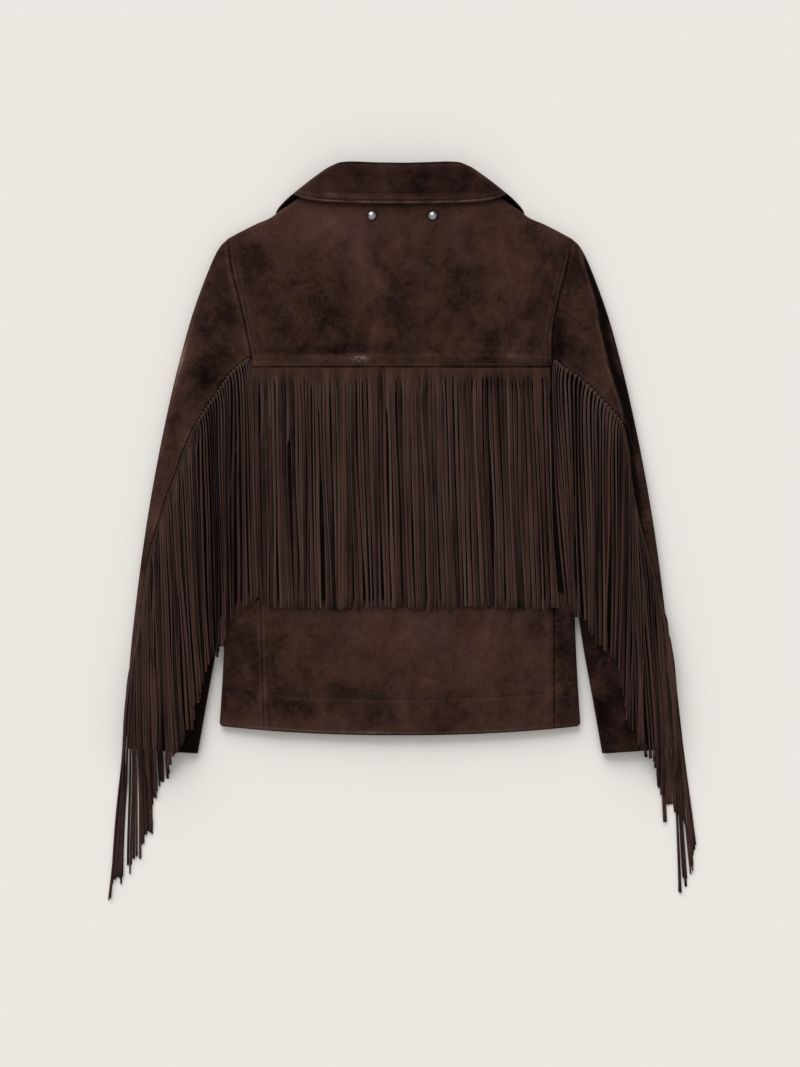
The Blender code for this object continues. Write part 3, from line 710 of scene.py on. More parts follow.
# %% Colours, and a new material


def rgb(red, green, blue):
    """A colour given as it looks on a screen, 0 to 255, made linear as the shader needs."""
    share = np.array([red, green, blue]) / 255
    linear = np.where(share <= 0.04045, share / 12.92, ((share + 0.055) / 1.055) ** 2.4)
    return tuple(float(v) for v in linear)


def new_material(name):
    """A material with its shader, and a Socket that gives the place on the object."""
    material = bpy.data.materials.new(name)
    material.use_nodes = True
    tree = material.node_tree
    shader = tree.nodes["Principled BSDF"]
    place = tree.nodes.new("ShaderNodeTexCoord")
    return material, shader, Socket(tree, place.outputs["Object"])


print("dark suede, linear:", rgb(52, 34, 28))

# %% [markdown]
# ## Suede
# Suede is the flesh side of a hide, raised to a short nap. It has no gloss, a faint pale sheen
# where it turns away from the eye, soft patches where the nap was brushed, small flecks, and a
# fine grain of fibres. Four layers of noise at four sizes give these, and the stored tone moves
# all of them lighter or darker. That tone also holds painted light and shade, and above 1 it turns
# the colour towards a pale one that stands for worn nap and painted highlights.

# %% Suede finish


def suede(name, warm, cool, rubbed_and_highlight):
    """warm and cool are ramps of colour, from nap in full shade to raised nap."""
    material, shader, place = new_material(name)
    clouds = place.stretched((1, 0.6, 1)).noise(15, 3, 0.55, 0.8)
    mottle = place.noise(52, 4, 0.62, 0.5)
    flecks = place.noise(240, 3, 0.6)
    fibres = place.noise(1500, 2, 0.6)
    tone = place.reads("tone")
    mask = (
        0.5
        + (clouds - 0.5) * 0.95
        + (mottle - 0.5) * 0.75
        + (flecks - 0.5) * 0.5
        + (fibres - 0.5) * 0.4
        + tone.math("MINIMUM", tone, 1) * 0.25
    )
    moved = place.node("ShaderNodeVectorMath", {}, {0: place, 1: (3.7, 1.9, 0)})
    hue = (moved.noise(26, 3, 0.6, 0.6) - 0.5) * 2.6 + 0.45
    # past a tone of 1, towards the pale colour: worn nap, and painted highlights
    worn = (tone - 1) * (mottle * 1.6 + flecks * 0.8 - 0.6)
    height = flecks * 0.5 + fibres * 0.5 + mottle * 1.2
    looks = {
        "Base Color": worn.mixed(hue.mixed(mask.ramp(warm), mask.ramp(cool)), (*rubbed_and_highlight, 1)),
        "Normal": height.relief(0.6, 0.8 * MM),
        "Roughness": 0.95,
        "Specular IOR Level": 0.05,
        "Sheen Weight": 0.05,
        "Sheen Roughness": 0.5,
        "Sheen Tint": (0.9, 0.62, 0.52, 1),
    }
    fill_inputs(material.node_tree, shader, looks)
    return material


def shades(*steps):
    """Ramp stops from (place, red, green, blue) as seen on a screen."""
    return [(place, rgb(*colour)) for place, *colour in steps]


WARM = shades((0, 8, 3, 1), (0.22, 30, 17, 11), (0.5, 54, 35, 26), (0.85, 70, 48, 39))
COOL = shades((0, 7, 2, 2), (0.22, 28, 15, 14), (0.5, 51, 32, 29), (0.85, 67, 46, 42))
DARK_WARM = shades((0, 7, 2, 1), (0.22, 24, 12, 8), (0.5, 45, 27, 20), (0.85, 59, 39, 31))
DARK_COOL = shades((0, 7, 2, 2), (0.22, 22, 11, 10), (0.5, 41, 24, 21), (0.85, 55, 35, 32))
# pale colour of worn nap, also used for painted highlights
RUBBED_AND_HIGHLIGHT = rgb(112, 92, 84)
SUEDE_FINISH = suede("brown_suede", WARM, COOL, RUBBED_AND_HIGHLIGHT)
# the collar's pale colour serves worn nap and painted highlights too
COLLAR_FINISH = suede("collar_suede", DARK_WARM, DARK_COOL, rgb(90, 70, 63))
print("suede finishes made")

# %% [markdown]
# ## Centre back
# The back is one panel below the yoke. Its hem is turned up and stitched far from the edge, so
# the hem band is a little raised. It could be a plane that cloth simulation drops on the table,
# but a grid in x and y with its height as a sum of layer, creases and seams keeps each seam sharp.

# %% Centre back
BACK_STITCH = {"left": 4.5 * MM, "right": 7.5 * MM}


def back_relief(x, y, from_hem, from_left, from_right):
    """Creases, a ridge beside each side seam, and the turned hem with its stitches."""
    from_stitch = from_hem - HEM_TURN
    z = body_relief(x, y) + hem_sag(from_hem)
    z += seam(from_left, ridge=0.4 * MM, band=6 * MM, line=BACK_STITCH["left"])
    z += seam(from_right, ridge=0.4 * MM, band=9 * MM, line=BACK_STITCH["right"])
    z += 0.5 * MM * fade(from_stitch / (2 * MM)) - 0.35 * MM * bump(from_stitch, 0.8 * MM)
    z -= 1.0 * MM * bump(from_hem, 1.6 * MM)
    z += puckers(x, np.abs(from_stitch), 11) + puckers(x, from_hem, 12)
    return z + puckers(y, from_left, 13) + puckers(y, from_right, 14)


def back_tone(x, y, from_hem, from_left, from_right):
    """Painted shade under the fringe and along the hem's very edge, dark in the seams, pale along the
    hem and beside its stitches.
    """
    from_stitch = from_hem - HEM_TURN
    below_fringe = ease((-0.07 - y) / 0.06)
    # painted shade where the fringe covers the back
    tone = patches(x, y, NAP_AND_PAINTED_LIGHT) - 2.2 * under_fringe(x, y) - 0.8 * bump(from_stitch, 1.0 * MM)
    tone += 0.4 * bump(from_stitch + 2.5 * MM, 1.5 * MM) + 0.9 * bump(from_hem - 2.6 * MM, 1.8 * MM)
    # painted shade: a dark line along the very edge of the hem, where it turns down
    tone -= 2.2 * bump(from_hem, 1.1 * MM)
    tone += seam_tone(from_left, y, 0.7, 0.7)
    tone -= 0.4 * bump(from_left - 5.2 * MM, 0.9 * MM) * below_fringe
    return tone + seam_tone(from_right, y, 1.6, 0.5, 8 * MM, 4 * MM)


def make_back():
    """Rows from hem to yoke seam, columns from side seam to side seam."""
    rows = rows_between(HEM_Y, YOKE_Y, lines=[HEM_STITCH_Y])
    left, right = (panel_edge(BACK_SEAM.at(side, rows), rows, side) for side in SIDES)
    x, from_left, from_right = columns_between(-left, right)
    y = hem_rows(rows[:, None], x)
    edges = y - hem_y(x), from_left, from_right
    top = np.where(x < 0, body_top(x, y, "left"), body_top(x, y, "right"))
    grid = (stack(x, y, top + back_relief(x, y, *edges)), back_tone(x, y, *edges))
    return panel("back_panel", [grid], SUEDE_FINISH, ["back_centre"])


back = make_back()

# %% [markdown]
# ## Yoke
# The yoke lies over the shoulders, and its lower edge carries two rows of stitches over the root
# of the fringe. It is the same kind of grid, but its last rows turn down along a quarter circle,
# so that the shoulder is round where it meets the front.

# %% Yoke
YOKE_BAND = 13 * MM
YOKE_STITCHES = (3.6 * MM, 7.4 * MM)
ARMHOLE_STITCH = 5.5 * MM
SHOULDER_FADE = 0.025
# x, height above the seam, width, height, and how much of the nap is gone
RUBBED_SPOTS = [
    (-50, 10, 13, 5, 1.7), (-92, 10, 26, 5, 1.3), (131, 12, 6, 4, 1.0), (150, 9, 12, 4, 0.8)
]
STUD_X = {"left": -0.034, "right": 0.039}
STUD_Y = 0.381


def yoke_relief(x, y, from_seam, from_side, below_shoulder):
    """Creases, the raised band over the seam with two rows of stitches, and the armhole's ridge."""
    edge = below_shoulder * seam(from_side, ridge=0.7 * MM, band=6.5 * MM, line=ARMHOLE_STITCH)
    band = 0.9 * MM * (fade((from_seam - YOKE_BAND) / (3 * MM)) - bump(from_seam, 0.9 * MM))
    for line in YOKE_STITCHES:
        band -= 0.35 * MM * bump(from_seam - line, 0.7 * MM)
    pulled = puckers(x, from_seam, 21, 12 * MM) + puckers(y, from_side, 22)
    return body_relief(x, y) + edge + band + pulled


def yoke_tone(x, y, from_seam, from_side, below_shoulder):
    """A paler band over the seam with speckled spots of worn nap, and painted shadow rings about the
    studs.
    """
    tone = patches(x, y, NAP_AND_PAINTED_LIGHT) + 0.35 * fade((from_seam - YOKE_BAND) / (3 * MM))
    tone += seam_tone(from_seam, x, 1.4, 0.3, 2.4 * MM)
    speckled = 1 + 0.45 * waves(x, y, 25, 4 * MM)
    for place_x, place_y, wide, high, worn in RUBBED_SPOTS:
        reach = bump(x - place_x * MM, wide * MM) * bump(from_seam - place_y * MM, high * MM)
        tone += worn * reach * speckled
    # painted shadow: a dark ring on the suede round each stud
    for stud_x in STUD_X.values():
        tone -= 1.6 * bump(np.hypot(x - stud_x, y - STUD_Y) - 5.2 * MM, 1.6 * MM)
    for line in YOKE_STITCHES:
        tone -= 0.5 * bump(from_seam - line, 0.8 * MM)
    above_band = ease((from_seam - 3 * MM) / (3 * MM))
    tone += below_shoulder * above_band * seam_tone(from_side, y, 1.5, 0.9)
    stitched = bump(from_side - 7.5 * MM, 1.5 * MM) - bump(from_side - ARMHOLE_STITCH, 0.9 * MM)
    return tone + 0.6 * below_shoulder * stitched


def make_yoke():
    """Rows from yoke seam to neckline, then turned down at the shoulders along a quarter circle."""
    turn = np.radians(np.linspace(9, 90, 10))
    height = YOKE_TOP.at("y", 0.1) - YOKE_Y
    straight = shares(np.concatenate([NEAR_SEAM, np.arange(9, 18, 2) * MM]) / height, 64)
    spread = shares(1 - NEAR_SEAM[:8] / SHOULDER_HALF, 52)
    share = np.concatenate([-spread[:0:-1], spread])
    reach = np.abs(share) * SHOULDER_HALF
    top = YOKE_TOP.at("y", reach)[None, :]
    rise = np.concatenate([straight, 1 + 0 * turn])[:, None]
    angle = np.concatenate([0 * straight, turn])[:, None]
    foot = YOKE_Y + GAP / 2
    y = foot + (top - FOLD_RADIUS - foot) * rise + FOLD_RADIUS * np.sin(angle)
    side = np.where(share < 0, ARMHOLE.at("left", y), ARMHOLE.at("right", y)) - GAP / 2
    x = share * side
    shoulder = ease((reach - NECK_HALF) / SHOULDER_FADE)
    crown = BODY_CROWN * (1 - share**2)
    flat = np.cos(angle)
    z = UPPER_LAYER + crown * (1 - shoulder * (1 - flat)) - shoulder * FOLD_RADIUS * (1 - flat)
    edges = y - foot, side - np.abs(x), ease((0.352 - y) / 0.03)
    z = z + flat * yoke_relief(x, y, *edges)
    grid = (stack(x, y, z), yoke_tone(x, y, *edges))
    return panel("yoke", [grid], SUEDE_FINISH, ["back_yoke"])


yoke = make_yoke()

# %% [markdown]
# ## Side panels
# A side panel starts at the seam on the back, goes round the side of the laid body and ends at
# its seam under the jacket. Its cross-section is a straight, half a circle and a straight.
# Above the underarm it splits into an upper and a lower flap, which end in points.

# %% Round a fold


def round_fold(start, stop, fold, radius, counts, inwards=-1):
    """x and angle along one row: from start to the fold, round it, and back to stop.

    inwards is -1 where the fold is the outermost part of the row, 1 where it is the innermost.
    """
    first, arc, last = counts
    start, stop, fold, radius = (np.asarray(v)[:, None] for v in (start, stop, fold, radius))
    turn = fold + inwards * radius
    near = np.concatenate([NEAR_SEAM[:6] / 0.05, [0.2]])
    share = np.unique(np.concatenate([near * 0.8, np.linspace(0, 1, first)]))[None, :-1]
    angle = np.radians(np.linspace(0, 180, arc))[None, :]
    upper_x = start + (turn - start) * share
    fold_x = turn - inwards * radius * np.sin(angle)
    lower_x = turn + (stop - turn) * np.linspace(0, 1, last)[None, 1:]
    angles = np.concatenate([0 * upper_x, angle + 0 * turn, np.pi + 0 * lower_x], axis=1)
    return np.concatenate([upper_x, fold_x, lower_x], axis=1), angles


def layers(angles):
    """Whether a layer is the upper one, and its columns. Both have the middle of the fold."""
    fold_column = int((angles[0] <= np.pi / 2 + 1e-6).sum())
    return [(True, slice(0, fold_column)), (False, slice(fold_column - 1, None))]


def side_limits(y, side, lower=False):
    """The seam of a side panel, which runs up beside the armhole until the panel ends."""
    seam_x = FRONT_SEAM.at("x", y) if lower else BACK_SEAM.at(side, y)
    return side_seam(seam_x, y, side) + GAP / 2


print("a side panel starts", round(float(side_limits(0.0, "right")), 4), "from the centre back")

# %% Side panels
SIDE_COUNTS = (14, 19, 10)
HEM_CORNER = 4 * MM
SEAM_TONE = {"left": (0.7, 0.6), "right": (1.6, 0.2)}


def side_flap(side, upper, last_x, last_z, angle):
    """From the end of the fold up beside the armhole, as a grid that narrows to a point.

    Its first row is the last one of the panel, whose roundness fades as a square root.
    """
    sign = SIDES[side]
    level = rows_between(UNDERARM_Y, SIDE_SEAM_TOP_Y - 3 * MM)
    inner = side_limits(level, side, not upper)[:, None]
    edge_x = ARMHOLE.at(side, level)[:, None] - GAP / 2
    x = inner + (edge_x - inner) * (last_x - inner[0]) / (last_x.max() - inner[0])
    y = level[:, None] + 0 * x
    share = ((level - UNDERARM_Y) / (SIDE_SEAM_TOP_Y - UNDERARM_Y))[:, None]
    drop = FOLD_RADIUS * (1 - np.abs(np.cos(angle))) * (1 - share) ** 0.5
    z = body_top(x, y, side) - drop if upper else FLOOR_LAYER + drop
    z[0] = last_z
    # painted shade where the fringe covers the flap
    return stack(x, y, z, sign), patches(sign * x, y, NAP_AND_PAINTED_LIGHT) - 3 * under_fringe(sign * x, y)


def make_side(side):
    """Rows from hem to underarm, columns round the fold, then the two flaps beside the armhole."""
    sign = SIDES[side]
    rows = rows_between(HEM_Y, UNDERARM_Y, lines=[HEM_STITCH_Y])
    half = body_half(rows, side)
    radius = FOLD_RADIUS + 0 * rows
    start = side_limits(rows, side)
    x, angle = round_fold(start, side_limits(rows, side, True), half, radius, SIDE_COUNTS)
    y = hem_rows(rows[:, None], x)
    corner = np.clip((x - half[:, None]) / HEM_CORNER + 1, 0, 1)
    y += HEM_CORNER * (1 - np.sqrt(1 - corner**2)) * fade((rows[:, None] - HEM_Y) / 0.02)
    up = np.clip(np.cos(angle), 0, 1)
    relief = creases(sign * x, y, BODY_CREASES) + 0.3 * MM * waves(sign * x, y, 3, 52 * MM)
    from_seam = x - start[:, None]
    from_hem = y - hem_y(x)
    edge = np.where(angle == 0, seam(from_seam), 0)
    hem = turned_edge(from_hem, HEM_TURN)
    sag = hem_sag(from_hem) * (1 + np.cos(angle)) / 2
    z = FOLD_HEIGHT + FOLD_RADIUS * np.cos(angle) + up * (relief * 0.8 + edge + hem) + sag
    z += up * (body_top(x, y, side) - UPPER_LAYER)
    tone = patches(sign * x, y, NAP_AND_PAINTED_LIGHT) + seam_tone(from_seam, y, *SEAM_TONE[side]) * (angle == 0)
    # pale along the hem, and painted shade where the fringe covers the panel
    tone += 0.9 * bump(from_hem - 2.6 * MM, 1.8 * MM) - 3 * under_fringe(sign * x, y) * (angle < 1)
    # painted shade: a dark line along the very edge of the hem
    tone -= 2.2 * bump(from_hem, 1.1 * MM)
    grids = [(stack(x, y, z, sign), tone)]
    for upper, own in layers(angle):
        grids.append(side_flap(side, upper, x[-1, own], z[-1, own], angle[-1, own]))
    return panel(f"side_{side}", grids, SUEDE_FINISH, [f"back_side_{side}"])


side_panels = {side: make_side(side) for side in SIDES}

# %% [markdown]
# ## Fronts
# The fronts lie on the table and carry the rest. They stay flat, with slight waves that only
# rise from the table, and turn up at the shoulders to meet the yoke.

# %% Fronts


def make_front(side):
    """Rows from hem to shoulder, columns from the middle to the side seam and the armhole."""
    sign = SIDES[side]
    share = np.linspace(0, 1, 36)[None, :]
    reach = share * SHOULDER_HALF
    top = FRONT_TOP.at("y", reach)
    shoulder = ease((reach - NECK_HALF) / SHOULDER_FADE)
    bottom = hem_y(share * FRONT_SEAM.at("x", HEM_Y))
    turn = np.radians(np.linspace(9, 90, 10))[:, None]
    rise = np.linspace(0, 1, 110)[:, None]
    flat_y = bottom + (top - FOLD_RADIUS - bottom) * rise
    y = np.concatenate([flat_y, top - FOLD_RADIUS * (1 - np.sin(turn))])
    angle = np.concatenate([0 * rise, turn])
    edge = panel_edge(FRONT_SEAM.at("x", y), y, side)
    x = GAP / 2 + (edge - GAP / 2) * share
    over_collar = ease((y - 0.250) / 0.035) * ease((0.185 - x) / 0.030)
    flat = FLOOR_LAYER + 2.8 * MM * over_collar + 0.2 * MM * np.abs(waves(sign * x, y, 31, 60 * MM))
    z = flat + shoulder * (FOLD_HEIGHT - GAP - flat) * (1 - np.cos(angle))
    tone = 0.25 * waves(sign * x, y, 32, 90 * MM)
    grid = (stack(x, y, z, sign), tone)
    return panel(f"front_half_{side}", [grid], SUEDE_FINISH, [f"front_{side}"])


fronts = {side: make_front(side) for side in SIDES}

# %% [markdown]
# ## Sleeves
# A two-piece sleeve has a wide top piece and a narrow under piece. Laid flat, the top piece goes
# round the outer fold and the under piece round the inner one. On the right the sleeve has rolled
# a little, so a second ridge runs down its outer side with a shaded slope beyond it. The ridge's
# highlight and the slope's shade are painted into the tone as well, and so is a highlight along
# the lit outer fold of the left sleeve.

# %% Height and tone of the sleeves
RIDGE = Table("y x", [
    (0.12, 0.2715), (0.155, 0.2655), (0.184, 0.256), (0.211, 0.248), (0.244, 0.241), (0.28, 0.235),
    (0.303, 0.228), (0.33, 0.22),
])
ROLL_FOOT = 0.07
ROLL_TOP = 0.32
SEAM_SLANT = 0.75
SLEEVE_STITCH = 4.2 * MM


def fold_radius(y, side):
    """The radius of a sleeve's fold, smaller where the sleeve ends in the shoulder's tip."""
    return np.minimum(FOLD_RADIUS, 0.42 * (SLEEVE_OUTER.at("x", y) - sleeve_inner(y, side)))


def sleeve_top(x, y, side):
    """A parabola between the two folds of the laid sleeve."""
    radius = fold_radius(y, side)
    first = sleeve_inner(y, side) + radius
    last = SLEEVE_OUTER.at("x", y) - radius
    share = np.clip((x - first) / np.maximum(last - first, MM), 0, 1)
    crown = SLEEVE_CROWN * np.clip((SLEEVE_APEX_Y - y) / 0.1, 0, 1)
    return FOLD_HEIGHT + radius + crown * 4 * share * (1 - share)


def roll_reach(y, top=ROLL_TOP):
    """1 along the part of the right sleeve that has rolled, 0 below and above it."""
    return ease((y - ROLL_FOOT) / 0.05) * fade((y - top) / 0.02)


def rolled(x, y, side):
    """1 on the slope beyond the ridge of the right sleeve, 0 elsewhere."""
    if side == "left":
        return 0 * x
    beyond = ease((x - RIDGE.at("x", y) + 2 * MM) / (2.4 * MM))
    return beyond * roll_reach(y)


def sleeve_relief(x, y, side):
    """Creases, unevenness, and the roll of the right sleeve; x is measured outwards."""
    sign = SIDES[side]
    edge = ease((SLEEVE_OUTER.at("x", y) - x) / 0.006)
    uneven = 0.30 * MM * waves(sign * x, y, 5, 44 * MM) + 0.10 * MM * waves(sign * x, y, 6, 16 * MM)
    crest = bump(x - RIDGE.at("x", y) + 2 * MM, 4 * MM) if side == "right" else 0
    roll = 0.5 * MM * crest * roll_reach(y) - 2.8 * MM * rolled(x, y, side)
    return edge * (creases(x, y, SLEEVE_CREASES[side]) + uneven) + roll


def sleeve_tone(x, y, side):
    """Tone of the nap on a sleeve: its own clouds, a painted highlight on the left outer fold, painted
    light and shade on the right roll.
    """
    sign = SIDES[side]
    tone = patches(sign * x, y, NAP_AND_PAINTED_LIGHT) + 0.25 * waves(sign * x, y, 7, 70 * MM)
    from_fold = SLEEVE_OUTER.at("x", y) - x
    if side == "left":
        # painted highlight along the lit outer fold of the left sleeve
        return tone + 1.9 * bump(from_fold - 2 * MM, 4 * MM) * bump(y - 0.2, 0.08)
    along = roll_reach(y, 0.33)
    past = x - RIDGE.at("x", y)
    # painted shade on the slope beyond the ridge, which turns away from the light
    shaded = rolled(x, y, side) * (2.6 - 1.3 * ease((past - 6 * MM) / (5 * MM)))
    # a painted highlight on the ridge's crest, less the painted shade
    return tone + along * (1.1 * bump(past + 2.6 * MM, 1.6 * MM) - shaded) - 0.15


def cuff_fall(x, y):
    """The upper layer of the cuff comes down towards its open edge."""
    return 0.7 * hem_sag(y - cuff_y(x))


print("a sleeve lies", round(float(sleeve_top(0.257, 0.0, "left")) / MM, 1), "mm high")

# %% Top sleeves
TOP_COUNTS = (22, 19, 12)
TIP_ROUND = 4 * MM
TIP_SLIT = 0.32
SHOULDER_SLOPE = 0.85
# beside the armhole seam: a pale line on the left, painted shade on the right
ARMHOLE_TONE = {"left": 0.4, "right": -0.2}


def top_sleeve_tone(x, y, side, from_seam, flat, below):
    """Worn nap and a painted highlight beside the seam, painted shade under the fringe's roots and by
    the right armhole, dark stitches.
    """
    fringed = below & flat
    at_armhole = (~below & flat) * ease((0.345 - y) / 0.03)
    tone = sleeve_tone(x, y, side) + seam_tone(from_seam, y, 1.5, 0.55, 3 * MM) * flat
    tone += at_armhole * ARMHOLE_TONE[side] * bump(from_seam - 2.4 * MM, 1.5 * MM)
    # painted shade on the right sleeve where the roots of the fringe lie over it
    if side == "right":
        tone -= 3 * fringed * bump(from_seam - 1 * MM, 4 * MM) * bump(y - 0.06, 0.06)
    tone += 0.35 * fringed * bump(from_seam - 5.4 * MM, 1.0 * MM)
    return tone - 0.5 * fringed * bump(from_seam - SLEEVE_STITCH, 0.7 * MM)


def make_top_sleeve(side):
    """Round the outer fold from seam to seam. The two layers close at the tip like a quarter circle."""
    sign = SIDES[side]
    seam_top = SLEEVE_SEAM[side].key[-1]
    rows = rows_between(CUFF_Y, SLEEVE_APEX_Y, lines=[seam_top])
    outer = SLEEVE_OUTER.at("x", rows)
    inner = sleeve_inner(rows, side)
    radius = fold_radius(rows, side)
    below = rows < seam_top
    start = np.where(below, sleeve_seam(rows, side), inner) + GAP
    stop = np.where(below, lower_seam(rows, side), inner) + GAP
    x, angle = round_fold(start, stop, outer, radius, TOP_COUNTS)
    level = rows[:, None]
    y = cuff_rows(level, x)
    up = np.clip(np.cos(angle), 0, 1)
    from_seam = (x - start[:, None]) * SEAM_SLANT
    ridge = seam(from_seam, ridge=0.7 * MM, band=5 * MM, line=SLEEVE_STITCH) * (angle == 0)
    ridge = ridge * ease((0.35 - y) / 0.03)
    cuff = turned_edge(y - cuff_y(x), CUFF_TURN)
    crown = sleeve_top(x, y, side) - FOLD_HEIGHT - radius[:, None]
    z = FOLD_HEIGHT + radius[:, None] * np.cos(angle) + cuff_fall(x, y) * (1 + np.cos(angle)) / 2
    z = z + up * (crown + sleeve_relief(x, y, side) + ridge + cuff + puckers(y, from_seam, 41))
    tone = top_sleeve_tone(x, y, side, from_seam, angle == 0, below[:, None])
    # painted shade where the fold turns down, away from the light
    tone -= 1.4 * bump(np.degrees(angle) - 80, 22)
    tip = np.clip((level - SLEEVE_APEX_Y) / TIP_ROUND + 1, 0, 1)
    z = FOLD_HEIGHT + (z - FOLD_HEIGHT) * np.maximum(np.sqrt(1 - tip**2), TIP_SLIT)
    y = y + (SLEEVE_OUTER.at("x", level) - x) * SHOULDER_SLOPE * ease((level - 0.322) / 0.025)
    grid = (stack(x, y, z, sign), tone)
    return panel(f"top_sleeve_{side}", [grid], SUEDE_FINISH, [f"sleeve_top_{side}"])


top_sleeves = {side: make_top_sleeve(side) for side in SIDES}

# %% [markdown]
# ## Under sleeves
# An under sleeve mirrors the way of a top sleeve: it goes round the inner fold instead. Beside
# the armhole it splits into two flaps, made as those of a side panel are. Its cuff lies in shade
# under the fringe, and that shade is painted into its tone. The right one shows the end of its
# vent, whose slit is painted dark as shade.

# %% Under sleeves
UNDER_COUNTS = (22, 19, 10)
# painted shade on each cuff, deepest on the left, where the fringe covers it
CUFF_SHADE = {"left": 4.0, "right": 0.9}
VENT_X = 0.2895


def sleeve_flap(side, upper, last_x, last_z, angle):
    """The same as beside a side panel. The upper flap ends where the fringed seam does."""
    sign = SIDES[side]
    level = rows_between(UNDERARM_Y, SLEEVE_SEAM[side].key[-1] - 4 * MM if upper else YOKE_Y)
    share = np.clip((level - UNDERARM_Y) / (SIDE_SEAM_TOP_Y - UNDERARM_Y), 0, 1)[:, None]
    edge_x = ARMHOLE.at(side, level)[:, None] + GAP + 1.7 * MM * (1 - share)
    far = (sleeve_seam(level, side) if upper else lower_seam(level, side))[:, None] - GAP / 2
    x = edge_x + (far - edge_x) * (last_x - last_x.min()) / (far[0] - last_x.min())
    y = level[:, None] + 0 * x
    drop = FOLD_RADIUS * (1 - np.abs(np.cos(angle))) * (1 - share) ** 0.5
    if upper:
        relief = sleeve_relief(x, y, side) * ease((y - UNDERARM_Y) / 0.01)
        z = sleeve_top(x, y, side) + relief + seam((far - x) * SEAM_SLANT) - drop
    else:
        z = FLOOR_LAYER + drop
    z[0] = last_z
    # painted shade where the fringe covers the flap
    return stack(x, y, z, sign), sleeve_tone(x, y, side) - 3 * under_fringe(sign * x, y)


def make_under_sleeve(side):
    """Round the inner fold from seam to seam, then two flaps beside the armhole, as a side panel has."""
    sign = SIDES[side]
    rows = rows_between(CUFF_Y, UNDERARM_Y)
    inner = sleeve_inner(rows, side)
    start = sleeve_seam(rows, side) - GAP / 2
    stop = lower_seam(rows, side) - GAP / 2
    radius = FOLD_RADIUS + 0 * rows
    x, angle = round_fold(start, stop, inner, radius, UNDER_COUNTS, inwards=1)
    level = rows[:, None]
    y = cuff_rows(level, x)
    up = np.clip(np.cos(angle), 0, 1)
    from_seam = (start[:, None] - x) * SEAM_SLANT
    from_cuff = y - cuff_y(x)
    cuff = turned_edge(from_cuff, CUFF_TURN)
    crown = sleeve_top(x, y, side) - UPPER_LAYER
    z = FOLD_HEIGHT + FOLD_RADIUS * np.cos(angle) + cuff_fall(x, y) * (1 + np.cos(angle)) / 2
    z = z + up * (crown + sleeve_relief(x, y, side) + seam(from_seam) * (angle == 0) + cuff)
    shade = CUFF_SHADE[side]
    # painted shade on the cuff, and where the fringe covers the sleeve
    tone = sleeve_tone(x, y, side) - shade - 3 * under_fringe(sign * x, y) * (angle < 1)
    if side == "right":
        vent = bump(x - VENT_X, 1.4 * MM) * fade((from_cuff - 25 * MM) / (3 * MM))
        worn = bump(x - 0.211, 0.015) * bump(from_cuff - 8 * MM, 8 * MM)
        # pale worn spots by the vent, and painted shade in the vent's slit
        tone += 3 * worn * (0.3 + 0.8 * waves(x, y, 26, 5 * MM)) - 4 * vent * (angle == 0)
        z = z - 1.2 * MM * vent * (angle == 0)
    grids = [(stack(x, y, z, sign), tone)]
    for upper, own in layers(angle):
        grids.append(sleeve_flap(side, upper, x[-1, own], z[-1, own], angle[-1, own]))
    return panel(f"under_sleeve_{side}", grids, SUEDE_FINISH, [f"sleeve_under_{side}"])


under_sleeves = {side: make_under_sleeve(side) for side in SIDES}

# %% [markdown]
# ## Collar
# The collar is a ring round the neck, flattened. The leaf folds over at the top and falls over
# the yoke, and its two ends pass under the shoulders. Each row of the table is a line round the
# ring; the rows between them are read from smooth curves.

# %% Tables of the collar
COLLAR_LEAF = Table("row centre_y side side_y upper lower out down", [
    (0, 0.4428, 0.0795, 0.4403, 0.0225, 0.0048, 0, 0),
    (1, 0.4413, 0.0825, 0.4388, 0.025, 0.0024, 0, 0),
    (2, 0.436, 0.0905, 0.435, 0.0262, 0.0011, 0, 0),
    (3, 0.418, 0.114, 0.418, 0.0225, 0.0011, 0.006, 0.005),
    (4, 0.394, 0.1285, 0.4065, 0.0184, 0.0011, 0.0285, 0.0225),
])
COLLAR_STAND = Table("row centre_y side side_y upper lower out down", [
    (0, 0.4243, 0.0985, 0.406, 0.0165, 0.004, 0, 0),
    (1, 0.433, 0.088, 0.423, 0.0188, 0.0048, 0, 0),
    (2, 0.4402, 0.0775, 0.4362, 0.0215, 0.0062, 0, 0),
])
COLLAR_REACH = 0.045
COLLAR_SLOPE = 0.9
COLLAR_HUMP = 3.5 * MM
COLLAR_FALL = 24 * MM


def collar_line(outward, centre_y, side_y):
    """y across the back: the middle, a slight hump outwards, and an eighth power down to the side."""
    return centre_y + COLLAR_HUMP * outward**2 - (COLLAR_HUMP + centre_y - side_y) * outward**8


def mirrored(right, sign=1):
    """The left half before the right one, both from the same grid."""
    return np.concatenate([sign * right[:, :0:-1], right], axis=1)

# %% Relief and tone of the leaf


def leaf_relief(x, y, from_edge):
    """A turned edge, raised as far as its stitches, on a surface that waves a little."""
    wavy = 0.4 * MM * waves(x, y, 51, 40 * MM) + 2 * puckers(x, from_edge, 52)
    raised = 0.8 * MM * fade((from_edge - 6 * MM) / (2 * MM))
    return wavy + raised - 0.3 * MM * bump(from_edge - 5.6 * MM, 0.9 * MM)


